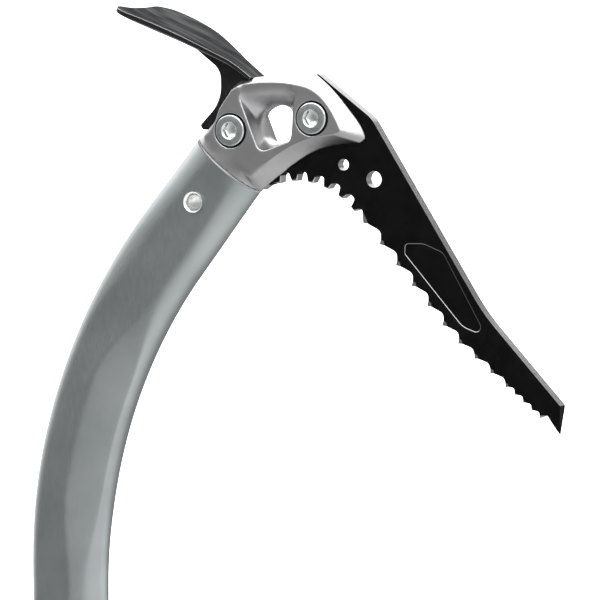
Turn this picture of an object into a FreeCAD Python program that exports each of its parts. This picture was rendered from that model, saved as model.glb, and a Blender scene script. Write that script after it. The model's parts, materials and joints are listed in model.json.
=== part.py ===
"""Technical ice axe, drawn as a parametric assembly of separate pieces.

Frame: millimetres, origin at the centre of the spike's eye, +Z up along the
shaft, +X towards the pick, Y across the flat faces of the pick plate.
Every piece of the head is drawn from one datum, the axis of the pick bolt.
Every piece of the handle is drawn from another, the axis of the spike's eye.
"""
import FreeCAD, Part
import Sketcher
import math
import os

App = FreeCAD
V = App.Vector
OUT = "parts"

# Driving dimensions: alias, value, what it is.
DIMENSIONS = [
    ("axis_wide", 35.5, "shaft section along the swing plane"),
    ("axis_thick", 23.0, "shaft section across the swing plane"),
    ("tube_wall", 1.6, "wall of the shaft tube"),
    ("fit_gap", 0.1, "gap all round between fitted pieces"),
    ("kick_angle", 10.0, "lean of the handle from the vertical shaft"),
    ("kick_radius", 160.0, "radius of the bend above the handle"),
    ("kick_top", 140.0, "height where the handle bend ends"),
    ("bend_start", 252.0, "height where the upper bend starts"),
    ("bend_radius", 237.0, "radius of the upper bend"),
    ("bend_angle", 38.4, "lean of the shaft at the head"),
    ("neck_run", 43.2, "straight tube between the bend and its upper end"),
    ("gasket_thick", 0.8, "ring between tube and head"),
    ("tube_bottom", 20.0, "lower end of the tube along the handle"),
    ("bolt_x", 98.8, "pick bolt from the spike's eye, along X"),
    ("bolt_z", 454.0, "pick bolt from the spike's eye, along Z"),
    ("adze_bolt_x", -37.5, "adze bolt from the pick bolt, along X"),
    ("adze_bolt_z", -5.6, "adze bolt from the pick bolt, along Z"),
    ("plate_thick", 6.0, "thickness of the pick plate and the adze web"),
    ("cheek_half", 11.0, "centre plane to the flat face of the head"),
    ("rim_half", 4.0, "centre plane to the outer rim of the head"),
    ("bolt_dia", 8.0, "thread of the two head bolts"),
    ("bolt_hole", 8.3, "clearance hole for the head bolts"),
    ("bolt_head_dia", 13.2, "head of the bolts"),
    ("bolt_head_tall", 5.5, "height of the bolt heads"),
    ("bolt_socket", 6.0, "hexagon socket, across flats"),
    ("sink_dia", 14.6, "counterbore for a bolt head"),
    ("sink_depth", 4.6, "depth of the counterbores"),
    ("nut_flats", 13.0, "captive nuts, across flats"),
    ("nut_thick", 5.0, "thickness of the captive nuts"),
    ("rivet_out", 7.6, "outside of the tubular rivet"),
    ("rivet_bore", 6.4, "bore of the tubular rivet"),
    ("rivet_flange", 9.0, "flange of the tubular rivet"),
    ("rivet_run", 20.2, "rivet below the seam, along the tube"),
    ("tenon_run", 40.0, "length of the head's tenon in the tube"),
    ("tenon_hollow", 31.0, "depth of the hollow in the tenon, from its lower end"),
    ("tenon_wall", 3.0, "wall of the tenon round its hollow"),
    ("hole_big", 6.8, "large hole in the pick"),
    ("hole_small", 4.8, "small hole in the pick"),
    ("pocket_deep", 0.5, "depth of the pocket in each side of the pick"),
    ("spike_thick", 6.0, "thickness of the spike plate"),
    ("eye_dia", 13.0, "eye in the spike"),
    ("pin_dia", 4.0, "pivot pin of the hand rest"),
    ("lever_pin_dia", 3.0, "pivot pin of the cam lever"),
    ("run_gap", 0.05, "running clearance of a pin in its hole"),
    ("slide_gap", 0.35, "clearance of the sliding rest round the shaft"),
    ("liner_thick", 1.0, "rubber liner of the sliding rest"),
    ("collar_wall", 3.6, "wall of the sliding rest"),
    ("collar_tall", 26.0, "height of the sliding rest"),
    ("collar_rest", 165.0, "height of the middle of the sliding rest"),
    ("grip_wall", 2.6, "wall of the rubber handle sleeve"),
    ("grip_bottom", 46.0, "lower end of the sleeve along the handle"),
    ("grip_top", 110.0, "upper end of the sleeve along the handle"),
]

doc = App.newDocument("ice_axe")


def make_sheet():
    """Spreadsheet that holds the driving dimensions under their aliases."""
    sheet = doc.addObject("Spreadsheet::Sheet", "Dims")
    for row, (alias, value, note) in enumerate(DIMENSIONS, start=1):
        sheet.set("A%d" % row, note)
        sheet.set("B%d" % row, str(value))
        sheet.setAlias("B%d" % row, alias)
    doc.recompute()
    return sheet


SHEET = make_sheet()


def dim(alias):
    """Value of one driving dimension, read from the sheet."""
    return float(SHEET.get(alias))


def origin_plane(body, role):
    """One of a body's own origin planes, found by its role."""
    for feature in body.Origin.OriginFeatures:
        if feature.Role == role:
            return feature
    raise ValueError(role)


def new_body(name, base=(0, 0, 0), lean=0.0):
    """Empty body, placed at a point and leaned by an angle about Y."""
    body = doc.addObject("PartDesign::Body", name)
    body.Placement = App.Placement(V(*base), App.Rotation(V(0, 1, 0), lean))
    return body


def new_sketch(body, name, role="XZ_Plane", offset=0.0):
    """Sketch on an origin plane. On XZ_Plane a positive offset is towards -Y."""
    sketch = body.newObject("Sketcher::SketchObject", name)
    sketch.AttachmentSupport = [(origin_plane(body, role), "")]
    sketch.MapMode = "FlatFace"
    sketch.AttachmentOffset = App.Placement(V(0, 0, offset), App.Rotation())
    return sketch


def outline(corners):
    """Edges of a closed outline through (across, up, radius) corners, rounded where radius > 0."""
    count = len(corners)
    stretches = []
    for index, (across, up, radius) in enumerate(corners):
        corner = V(across, up, 0)
        if radius <= 0:
            stretches.append((corner, None, corner))
            continue
        before = V(*corners[index - 1][:2], 0)
        after = V(*corners[(index + 1) % count][:2], 0)
        back = (before - corner).normalize()
        ahead = (after - corner).normalize()
        half = back.getAngle(ahead) / 2
        reach = radius / math.tan(half)
        middle = (back + ahead).normalize()
        far = radius / math.sin(half)
        stretches.append((corner + back * reach, corner + middle * (far - radius), corner + ahead * reach))
    edges = []
    for index, (start, top, end) in enumerate(stretches):
        if top is not None:
            edges.append(Part.Arc(start, top, end))
        following = stretches[(index + 1) % count][0]
        if end.distanceToPoint(following) > 1e-6:
            edges.append(Part.LineSegment(end, following))
    return edges


def draw(sketch, edges):
    """Put the edges of an outline in a sketch."""
    for edge in edges:
        sketch.addGeometry(edge, False)


def circle(sketch, across, up, alias, extra=0.0):
    """Circle in a sketch, its diameter bound to the sheet with an extra added to it."""
    diameter = dim(alias) + extra
    index = sketch.addGeometry(Part.Circle(V(across, up, 0), V(0, 0, 1), diameter / 2), False)
    number = sketch.addConstraint(Sketcher.Constraint("Diameter", index, diameter))
    sketch.setExpression("Constraints[%d]" % number, "Dims.%s + %s" % (alias, extra))


def oval(sketch, wide, thick, grow=0.0):
    """Oval section of the shaft, its long axis across the sketch."""
    major = wide / 2 + grow
    minor = thick / 2 + grow
    sketch.addGeometry(Part.Ellipse(V(major, 0, 0), V(0, minor, 0), V(0, 0, 0)), False)


def pad(body, sketch, length, symmetric=True, reverse=False):
    """Pad a sketch. length is a number or an expression of the sheet."""
    feature = body.newObject("PartDesign::Pad", sketch.Name + "_pad")
    feature.Profile = sketch
    feature.SideType = "Symmetric" if symmetric else "One side"
    feature.Reversed = reverse
    set_length(feature, length)
    doc.recompute()
    return feature


def pocket(body, sketch, length, reverse=False, symmetric=False, through=False):
    """Pocket a sketch, and refuse one that cuts nothing."""
    before = body.Shape.Volume
    feature = body.newObject("PartDesign::Pocket", sketch.Name + "_cut")
    feature.Profile = sketch
    feature.Reversed = reverse
    if through:
        feature.SideType = "Symmetric"
        feature.Type = "ThroughAll"
    elif symmetric:
        feature.SideType = "Symmetric"
        set_length(feature, length)
    else:
        set_length(feature, length)
    doc.recompute()
    if not feature.Shape.Volume < before - 1e-3:
        raise ValueError("%s cuts nothing" % feature.Name)
    return feature


def set_length(feature, length):
    """Length of a feature, as a number or bound to the sheet."""
    if isinstance(length, str):
        feature.setExpression("Length", length)
    else:
        feature.Length = length


# Places worked out from the driving dimensions.
KICK = math.radians(dim("kick_angle"))
BEND = math.radians(dim("bend_angle"))
KICK_LOW = dim("kick_top") - dim("kick_radius") * math.sin(KICK)
SHAFT_X = -KICK_LOW * math.tan(KICK) - dim("kick_radius") * (1 - math.cos(KICK))
BEND_END = V(
    SHAFT_X + dim("bend_radius") * (1 - math.cos(BEND)),
    0,
    dim("bend_start") + dim("bend_radius") * math.sin(BEND),
)
UP_HANDLE = V(-math.sin(KICK), 0, math.cos(KICK))
UP_NECK = V(math.sin(BEND), 0, math.cos(BEND))
NECK_TOP = BEND_END + UP_NECK * dim("neck_run")
SEAM = NECK_TOP + UP_NECK * dim("gasket_thick")
RIVET = SEAM - UP_NECK * dim("rivet_run")
BOLT = V(dim("bolt_x"), 0, dim("bolt_z"))
NECK_LEAN = dim("bend_angle")
HANDLE_LEAN = -dim("kick_angle")


def shaft_path(low):
    """Centre line of the tube, from a height along the handle up to the neck, as Part edges."""
    start = UP_HANDLE * low
    kick_low = UP_HANDLE * (KICK_LOW / math.cos(KICK))
    kick_mid = V(
        SHAFT_X + dim("kick_radius") * (1 - math.cos(KICK / 2)),
        0,
        dim("kick_top") - dim("kick_radius") * math.sin(KICK / 2),
    )
    kick_high = V(SHAFT_X, 0, dim("kick_top"))
    bend_low = V(SHAFT_X, 0, dim("bend_start"))
    bend_mid = V(
        SHAFT_X + dim("bend_radius") * (1 - math.cos(BEND / 2)),
        0,
        dim("bend_start") + dim("bend_radius") * math.sin(BEND / 2),
    )
    return [
        Part.LineSegment(start, kick_low),
        Part.Arc(kick_low, kick_mid, kick_high),
        Part.LineSegment(kick_high, bend_low),
        Part.Arc(bend_low, bend_mid, BEND_END),
        Part.LineSegment(BEND_END, NECK_TOP),
    ]


def oval_wire(centre, lean, grow):
    """Oval section of the shaft as a wire, square to a direction leaned about Y."""
    ellipse = Part.Ellipse(
        V(dim("axis_wide") / 2 + grow, 0, 0), V(0, dim("axis_thick") / 2 + grow, 0), V(0, 0, 0)
    )
    wire = Part.Wire([ellipse.toShape()])
    wire.Placement = App.Placement(centre, App.Rotation(V(0, 1, 0), lean))
    return wire


def feature_from(name, shape):
    """Document object for a piece whose shape Part's own functions make."""
    piece = doc.addObject("Part::Feature", name)
    piece.Shape = shape
    return piece


def cross_cylinder(centre, diameter, length):
    """Solid cylinder across the swing plane, centred on a point."""
    return Part.makeCylinder(diameter / 2, length, centre - V(0, length / 2, 0), V(0, 1, 0))


# Cross fasteners of the handle: heights along the handle, and diameters.
SPIKE_RIVETS = (54.0, 66.0)
SPIKE_RIVET_DIA = 4.0
REST_SCREW_UP = 33.0
REST_SCREW_DIA = 5.0


def make_shaft_tube():
    """Oval tube swept along the centre line, with its two rivet positions drilled."""
    start = UP_HANDLE * dim("tube_bottom")
    spine = Part.Wire([edge.toShape() for edge in shaft_path(dim("tube_bottom"))])
    outer = spine.makePipeShell([oval_wire(start, HANDLE_LEAN, 0)], True, True)
    inner = spine.makePipeShell([oval_wire(start, HANDLE_LEAN, -dim("tube_wall"))], True, True)
    tube = outer.cut(inner)
    tube = tube.cut(cross_cylinder(RIVET, dim("rivet_out") + dim("fit_gap"), 60))
    for height in SPIKE_RIVETS:
        tube = tube.cut(cross_cylinder(UP_HANDLE * height, SPIKE_RIVET_DIA, 60))
    tube = tube.cut(cross_cylinder(UP_HANDLE * REST_SCREW_UP, REST_SCREW_DIA + 2 * dim("fit_gap"), 60))
    return feature_from("shaft_tube", tube)


# Head -----------------------------------------------------------------------

# Outer rim of the head and the edge of its flat face, from the pick bolt.
# Each row is one stretch of the outline, a smooth curve through its points or a straight line.
RIM = [
    [(-27.2, -30.9), (-54.0, -9.5)],
    [(-54.0, -9.5), (-48.0, -2.3)],
    [(-48.0, -2.3), (-45.5, 3.5)],
    [(-45.5, 3.5), (-39.6, 12.2)],
    [(-39.6, 12.2), (-35.5, 15.6)],
    [(-35.5, 15.6), (-22.0, 17.3), (-1.3, 18.1)],
    [(-1.3, 18.1), (7.2, 11.0), (14.9, 2.5), (20.4, -5.5), (21.3, -8.4)],
    [(21.3, -8.4), (19.0, -10.2)],
    [(19.0, -10.2), (9.5, -11.0), (0.5, -13.2), (-8.0, -17.4), (-16.5, -23.2), (-27.2, -30.9)],
]
FACE = [
    [(-29.0, -25.5), (-51.0, -8.5)],
    [(-51.0, -8.5), (-44.7, -2.3)],
    [(-44.7, -2.3), (-42.6, 3.5)],
    [(-42.6, 3.5), (-37.0, 11.2)],
    [(-37.0, 11.2), (-33.5, 13.3)],
    [(-33.5, 13.3), (-18.0, 15.0), (-3.0, 13.0)],
    [(-3.0, 13.0), (3.8, 9.2), (8.4, 3.8), (11.6, -2.0), (13.0, -5.0)],
    [(13.0, -5.0), (10.0, -6.5)],
    [(10.0, -6.5), (1.0, -8.0), (-7.0, -10.6), (-16.0, -15.5), (-23.0, -20.5), (-29.0, -25.5)],
]
# Recess in each cheek: its mouth in the flat face and the eye at its floor.
RECESS = [(-34.9, 11.0, 2.0), (-24.2, -15.0, 3.5), (-9.6, -9.4, 2.0), (-8.6, 3.0, 3.0), (-6.0, 12.0, 2.0)]
EYE = [(-27.4, 0.8, 5.0), (-24.3, -11.0, 4.5), (-12.3, -10.6, 3.0), (-11.1, 2.4, 3.0), (-18.5, 5.8, 5.0)]
# Centre plane to the rim of the eye, at the floor of each recess.
EYE_RIM_HALF = 3.4

# Oval neck above the seam: its length and how much its top is drawn in.
NECK_RUN = 9.0
NECK_DRAW = 0.8

# Slots for the pick and for the adze's tang, open to the outside of the head.
PICK_SLOT = [
    (-9.4, 30.0, 0),
    (-9.4, -12.5, 2.0),
    (-19.5, -17.5, 2.0),
    (-24.9, -26.9, 0),
    (-23.0, -29.6, 0),
    (0.0, -50.0, 0),
    (60.0, -20.0, 0),
    (40.0, 30.0, 0),
]
ADZE_SLOT = [
    (-28.8, 40.0, 0),
    (-28.8, -11.0, 3.0),
    (-36.0, -14.6, 3.0),
    (-70.0, -1.5, 0),
    (-70.0, 40.0, 0),
]


def cheek_wire(stretches, y):
    """Closed wire in a plane across Y, one edge for each stretch of an outline."""
    edges = []
    for stretch in stretches:
        points = [V(x, y, z) for x, z in stretch]
        if len(points) == 2:
            edges.append(Part.makeLine(*points))
        else:
            curve = Part.BSplineCurve()
            curve.interpolate(points)
            edges.append(curve.toShape())
    return Part.Wire(edges)


def round_wire(corners, y):
    """Closed wire of a rounded outline in a plane across Y."""
    wire = Part.Wire([edge.toShape() for edge in outline(corners)])
    wire.Placement = App.Placement(V(0, y, 0), App.Rotation(V(1, 0, 0), 90))
    return wire


def slab(wire, thick):
    """Solid from a wire in a plane across Y, centred on that plane."""
    solid = Part.Face(wire).extrude(V(0, thick, 0))
    solid.translate(V(0, -thick / 2, 0))
    return solid


def loft(low, high, ruled):
    """Solid between two wires, with its inside on the inside."""
    solid = Part.makeLoft([low, high], True, ruled)
    if solid.Volume < 0:
        solid.reverse()
    return solid


def head_cheeks():
    """Body of the head between its two flat faces, bevelled from the rim up to each face."""
    rim = dim("rim_half")
    face = dim("cheek_half")
    core = slab(cheek_wire(RIM, 0), 2 * rim)
    near = loft(cheek_wire(RIM, -rim), cheek_wire(FACE, -face), True)
    far = loft(cheek_wire(RIM, rim), cheek_wire(FACE, face), True)
    return core.fuse([near, far])


def make_head():
    """Cast head: bevelled cheeks, neck, tenon, slots, eye, recesses and bolt seats."""
    face = dim("cheek_half")
    seam = SEAM - BOLT
    neck_top = oval_wire(seam + UP_NECK * NECK_RUN, NECK_LEAN, -NECK_DRAW)
    neck = loft(oval_wire(seam, NECK_LEAN, 0), neck_top, True)
    tenon_grow = -dim("tube_wall") - dim("fit_gap")
    tenon = Part.Face(oval_wire(seam, NECK_LEAN, tenon_grow)).extrude(UP_NECK * -dim("tenon_run"))
    tenon_end = seam - UP_NECK * dim("tenon_run")
    inside = Part.Face(oval_wire(tenon_end, NECK_LEAN, tenon_grow - dim("tenon_wall")))
    tenon = tenon.cut(inside.extrude(UP_NECK * dim("tenon_hollow")))
    below = Part.makeBox(200, 60, 100, V(-100, -30, -100))
    below.Placement = App.Placement(seam, App.Rotation(V(0, 1, 0), NECK_LEAN))
    head = head_cheeks().cut(below).fuse([neck, tenon])
    head = head.cut(slab(round_wire(PICK_SLOT, 0), dim("plate_thick") + dim("fit_gap")))
    head = head.cut(slab(round_wire(ADZE_SLOT, 0), dim("plate_thick") + dim("fit_gap")))
    head = head.cut(slab(round_wire(EYE, 0), 2 * EYE_RIM_HALF))
    for side in (-1, 1):
        mouth = round_wire(RECESS, side * (face + 0.5))
        floor = round_wire(EYE, side * EYE_RIM_HALF)
        head = head.cut(loft(floor, mouth, True))
    adze_bolt = V(dim("adze_bolt_x"), 0, dim("adze_bolt_z"))
    for centre in (V(0, 0, 0), adze_bolt):
        head = head.cut(cross_cylinder(centre, dim("bolt_hole"), 60))
        seat_y = -face + dim("sink_depth")
        sink = Part.makeCylinder(dim("sink_dia") / 2, 20, centre + V(0, seat_y, 0), V(0, -1, 0))
        trap = hexagon(centre, dim("nut_flats") + dim("fit_gap"), face - dim("nut_thick") - 0.2, 20)
        head = head.cut([sink, trap])
    rivet = RIVET - BOLT
    head = head.cut(cross_cylinder(rivet, dim("rivet_out") + dim("fit_gap"), 60))
    head = head.removeSplitter()
    piece = feature_from("head", head)
    piece.Placement = App.Placement(BOLT, App.Rotation())
    return piece



def hexagon(centre, flats, y, length):
    """Hexagonal prism across Y, from a plane outwards."""
    radius = flats / math.sqrt(3)
    corners = []
    for turn in range(6):
        angle = math.radians(60 * turn)
        corners.append(V(centre.x + radius * math.cos(angle), y, centre.z + radius * math.sin(angle)))
    return Part.Face(Part.makePolygon(corners + corners[:1])).extrude(V(0, length, 0))



def make_head_gasket():
    """Thin oval ring between the tube's end and the head's shoulder."""
    body = new_body("head_gasket", NECK_TOP, NECK_LEAN)
    sketch = new_sketch(body, "gasket_ring", "XY_Plane")
    oval(sketch, dim("axis_wide"), dim("axis_thick"), 0.0)
    oval(sketch, dim("axis_wide"), dim("axis_thick"), -dim("tube_wall"))
    pad(body, sketch, "Dims.gasket_thick", symmetric=False)
    return body


def make_head_rivet():
    """Tubular rivet that holds the tenon in the tube, with a thin flange on each side."""
    body = new_body("head_rivet", RIVET)
    half = dim("axis_thick") / 2
    flange = 0.5
    sketch = new_sketch(body, "rivet_half", "XY_Plane")
    bore = dim("rivet_bore") / 2
    out = dim("rivet_out") / 2
    rim = dim("rivet_flange") / 2
    profile = [
        (bore, -half - flange, 0),
        (rim - 0.3, -half - flange, 0),
        (rim, -half, 0),
        (out, -half, 0),
        (out, half, 0),
        (rim, half, 0),
        (rim - 0.3, half + flange, 0),
        (bore, half + flange, 0),
    ]
    draw(sketch, outline(profile))
    turn = body.newObject("PartDesign::Revolution", "rivet_turned")
    turn.Profile = sketch
    turn.ReferenceAxis = (sketch, ["V_Axis"])
    turn.Angle = 360
    doc.recompute()
    return body


# Pick -----------------------------------------------------------------------

# Upper crenellations lie on an arc, from the pick bolt: angles in degrees, lengths along its radius.
CRENEL_CENTRE = (-10.5, -60.8)
CRENEL_RADIUS = 34.2
CRENEL_FIRST = -14.7
CRENEL_STEP = 12.45
CRENEL_COUNT = 6
CRENEL_LAND = 2.2
CRENEL_FOOT = 3.4
CRENEL_DEPTH = 4.0
CRENEL_ROUND = 1.3
CREST_ROUND = 0.4
# Saw teeth run along straight lines: angle from vertical, place of the notch as shares
# of the way to the next tip (across, down), and the pitches.
FIRST_TOOTH = (20.2, -42.8)
TOOTH_LINES = [
    (40.8, (1.0, 0.42), [11.6, 11.2, 10.9, 10.6, 10.4]),
    (44.5, (0.95, 0.4), [10.0]),
    (50.6, (0.85, 0.36), [9.2, 9.1, 8.6]),
    (50.6, (0.92, 0.17), [4.9, 4.8, 4.7, 4.6]),
]


def crenellations():
    """Corners of the rounded square waves under the head."""
    corners = []
    for tooth in range(CRENEL_COUNT):
        middle = CRENEL_FIRST + CRENEL_STEP * tooth
        for angle, depth, radius in (
            (middle - CRENEL_FOOT, CRENEL_DEPTH, CRENEL_ROUND),
            (middle - CRENEL_LAND, 0.0, CREST_ROUND),
            (middle + CRENEL_LAND, 0.0, CREST_ROUND),
            (middle + CRENEL_FOOT, CRENEL_DEPTH, CRENEL_ROUND),
        ):
            turn = math.radians(angle)
            reach = CRENEL_RADIUS + depth
            x = CRENEL_CENTRE[0] + reach * math.sin(turn)
            z = CRENEL_CENTRE[1] + reach * math.cos(turn)
            corners.append((x, z, radius))
    return corners[1:]


def saw_teeth():
    """Corners of the hooked teeth: a shallow flank, a rounded notch and a steep face each."""
    x, z = FIRST_TOOTH
    corners = [(x, z, 0)]
    for lean, (across, down), pitches in TOOTH_LINES:
        along = V(math.sin(math.radians(lean)), -math.cos(math.radians(lean)), 0)
        for pitch in pitches:
            step = along * pitch
            corners.append((x + across * step.x, z + down * step.y, 0.24 * pitch))
            x += step.x
            z += step.y
            corners.append((x, z, 0))
    return corners


def make_pick():
    """Flat pick: tang in the head, crenellations, saw teeth, tip, two holes and two side pockets."""
    body = new_body("pick", BOLT)
    sketch = new_sketch(body, "pick_outline")
    tang_and_back = [
        (-24.2, -27.0, 0.8),
        (-19.2, -17.9, 2.0),
        (-9.2, -12.8, 2.0),
        (-9.2, 15.5, 1.5),
        (-0.8, 18.2, 1.0),
        (23.4, 0.1, 14.0),
        (73.5, -79.0, 90.0),
        (107.4, -115.4, 0),
        (107.5, -127.6, 0),
        (105.6, -125.6, 1.0),
        (101.8, -119.4, 0.8),
    ]
    underside = crenellations() + saw_teeth()
    tail = [(-21.0, -27.0, 0), (-22.9, -28.8, 0.5)]
    draw(sketch, outline(tang_and_back + underside[::-1] + tail))
    pad(body, sketch, "Dims.plate_thick")
    holes = new_sketch(body, "pick_holes")
    circle(holes, 0, 0, "bolt_hole")
    circle(holes, 24.6, -25.1, "hole_big")
    circle(holes, 10.8, -19.3, "hole_small")
    pocket(body, holes, None, through=True)
    for side, name in ((1, "near_pocket"), (-1, "far_pocket")):
        panel = new_sketch(body, name, offset=side * dim("plate_thick") / 2)
        draw(panel, outline(POCKET_OUTLINE))
        pocket(body, panel, "Dims.pocket_deep", reverse=side < 0)
    return body


# Triangular pocket in each side of the pick.
POCKET_OUTLINE = [(39.0, -51.5, 1.5), (55.8, -53.6, 4.0), (74.6, -88.0, 2.5), (64.0, -84.0, 6.0), (39.0, -55.8, 1.5)]


# Adze -----------------------------------------------------------------------

# Blade of the adze at stations from its free end to its root, from the pick bolt:
# x and z of the two long edges, half width, thickness, depth of the trough between the edges.
BLADE = [
    (-86.8, 47.0, 24.6, 1.6, 0.9),
    (-80.0, 44.0, 25.6, 2.2, 1.8),
    (-70.0, 40.2, 24.2, 2.6, 2.2),
    (-58.0, 34.7, 20.3, 2.8, 1.8),
    (-46.0, 27.8, 13.4, 2.8, 0.9),
    (-38.0, 22.8, 8.6, 2.6, 0.3),
    (-29.6, 16.6, 7.5, 2.0, 0.1),
]
# Rounded corner of the blade's free end, in plan: the part outside it is cut away.
BLADE_CORNER = [(-95.0, 9.0, 0), (-87.3, 11.0, 6.0), (-81.0, 25.8, 6.0), (-76.0, 40.0, 0), (-95.0, 40.0, 0)]
ADZE_WEB = [
    (-60.0, 32.0, 0),
    (-57.0, 27.6, 0),
    (-46.2, 19.5, 8.0),
    (-45.8, 6.5, 16.0),
    (-55.8, -3.9, 0.8),
    (-54.6, -5.9, 0.8),
    (-49.5, -5.9, 3.0),
    (-36.0, -14.3, 3.0),
    (-29.1, -10.8, 3.0),
    (-29.1, 14.8, 0),
    (-40.0, 22.5, 0),
]


def blade_section(index):
    """Closed wire of the blade at one station, square to its length."""
    x, z, half, thick, dish = BLADE[index]
    before = BLADE[max(index - 1, 0)]
    after = BLADE[min(index + 1, len(BLADE) - 1)]
    along = V(after[0] - before[0], 0, after[1] - before[1]).normalize()
    up = V(-along.z, 0, along.x)
    edge = V(x, 0, z)
    wide = V(0, half, 0)
    top = Part.Arc(edge - wide, edge - up * dish, edge + wide).toShape()
    rim = up * (0.6 * thick)
    low = Part.Arc(edge + wide - rim, edge - up * (dish + thick), edge - wide - rim).toShape()
    far_side = Part.makeLine(edge + wide, edge + wide - rim)
    near_side = Part.makeLine(edge - wide - rim, edge - wide)
    return Part.Wire([top, far_side, low, near_side])


# Clearance between the top of the head and the blade that rests on it.
HEAD_TO_BLADE = 0.15


def make_adze():
    """Forged adze: curved blade with a trough along it, web down the head's back, tang under its bolt."""
    blade = Part.makeLoft([blade_section(index) for index in range(len(BLADE))], True, False)
    if blade.Volume < 0:
        blade.reverse()
    for side in (1, -1):
        corners = [(x, side * y, radius) for x, y, radius in BLADE_CORNER]
        wire = Part.Wire([edge.toShape() for edge in outline(corners)])
        blade = blade.cut(Part.Face(wire).extrude(V(0, 0, 80)))
    over_head = head_cheeks()
    over_head.translate(V(0, 0, HEAD_TO_BLADE))
    blade = blade.cut(over_head)
    adze = blade.fuse(slab(round_wire(ADZE_WEB, 0), dim("plate_thick")))
    bolt = V(dim("adze_bolt_x"), 0, dim("adze_bolt_z"))
    adze = adze.cut(cross_cylinder(bolt, dim("bolt_hole"), 60)).removeSplitter()
    piece = feature_from("adze", adze)
    piece.Placement = App.Placement(BOLT, App.Rotation())
    return piece


# Gap between the top of the head and the root of the adze's blade.
# Head bolts -----------------------------------------------------------------

def make_bolt(name, centre, diameter, head_dia, head_tall, seat_y, end_y, flats):
    """Low socket-head screw across Y, its head towards -Y."""
    body = new_body(name, centre)
    profile = new_sketch(body, name + "_half", "XY_Plane")
    top = seat_y - head_tall
    rim = 0.07 * head_dia
    corners = [
        (0, top, 0),
        (head_dia / 2 - rim, top, 0),
        (head_dia / 2, top + rim * 0.7, 0),
        (head_dia / 2, seat_y, 0),
        (diameter / 2, seat_y, 0),
        (diameter / 2, end_y - 0.6, 0),
        (diameter / 2 - 0.6, end_y, 0),
        (0, end_y, 0),
    ]
    draw(profile, outline(corners))
    turn = body.newObject("PartDesign::Revolution", name + "_turned")
    turn.Profile = profile
    turn.ReferenceAxis = (profile, ["V_Axis"])
    turn.Angle = 360
    doc.recompute()
    socket = new_sketch(body, name + "_socket", offset=-top)
    draw(socket, hexagon_edges(flats))
    pocket(body, socket, 0.55 * head_tall)
    return body


def hexagon_edges(flats):
    """Edges of a regular hexagon about the sketch's origin."""
    radius = flats / math.sqrt(3)
    corners = []
    for turn in range(6):
        angle = math.radians(60 * turn)
        corners.append((radius * math.cos(angle), radius * math.sin(angle), 0))
    return outline(corners)


def make_nut(name, centre, flats, thick, bore, start_y):
    """Hexagon nut across Y, from a plane towards +Y."""
    body = new_body(name, centre)
    sketch = new_sketch(body, name + "_hex", offset=-start_y)
    draw(sketch, hexagon_edges(flats))
    sketch.addGeometry(Part.Circle(V(0, 0, 0), V(0, 0, 1), bore / 2), False)
    pad(body, sketch, thick, symmetric=False, reverse=True)
    return body


def make_head_bolts():
    """The pick's and the adze's screws with their captive nuts."""
    face = dim("cheek_half")
    adze_bolt = BOLT + V(dim("adze_bolt_x"), 0, dim("adze_bolt_z"))
    pieces = []
    for name, centre in (("pick", BOLT), ("adze", adze_bolt)):
        seat_y = -face + dim("sink_depth")
        size = (dim("bolt_dia"), dim("bolt_head_dia"), dim("bolt_head_tall"))
        pieces.append(make_bolt(name + "_bolt", centre, *size, seat_y, face - 0.3, dim("bolt_socket")))
        start = face - dim("nut_thick") - 0.1
        nut = (dim("nut_flats"), dim("nut_thick"), dim("bolt_dia") + 0.04, start)
        pieces.append(make_nut(name + "_nut", centre, *nut))
    return pieces


# Handle ---------------------------------------------------------------------

# Length of the foam plug along the tube.
PLUG_RUN = 12.0


def make_shaft_plug():
    """Foam plug that keeps water out of the tube below the tenon."""
    base = SEAM - UP_NECK * (dim("tenon_run") + PLUG_RUN + 1.0)
    body = new_body("shaft_plug", base, NECK_LEAN)
    sketch = new_sketch(body, "plug_oval", "XY_Plane")
    oval(sketch, dim("axis_wide"), dim("axis_thick"), -dim("tube_wall") - 0.4)
    pad(body, sketch, PLUG_RUN, symmetric=False)
    return body


def make_grip_sleeve():
    """Rubber sleeve moulded on the straight handle, with a lip at each end."""
    body = new_body("grip_sleeve", (0, 0, 0), HANDLE_LEAN)
    low = dim("grip_bottom")
    high = dim("grip_top")
    wall = dim("grip_wall")
    for name, start, end, grow in (
        ("grip_main", low, high, wall),
        ("grip_low_lip", low, low + 6.0, wall + 1.6),
        ("grip_high_lip", high - 5.0, high, wall + 1.2),
    ):
        sketch = new_sketch(body, name, "XY_Plane", offset=start)
        oval(sketch, dim("axis_wide"), dim("axis_thick"), grow)
        pad(body, sketch, end - start, symmetric=False)
    inside = new_sketch(body, "grip_inside", "XY_Plane", offset=high)
    oval(inside, dim("axis_wide"), dim("axis_thick"), 0.05)
    pocket(body, inside, high - low)
    return body


SOCKET_LOW = 12.3
SOCKET_HIGH = 76.0
TANG_HIGH = 72.0
TANG_HALF = 7.0


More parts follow.
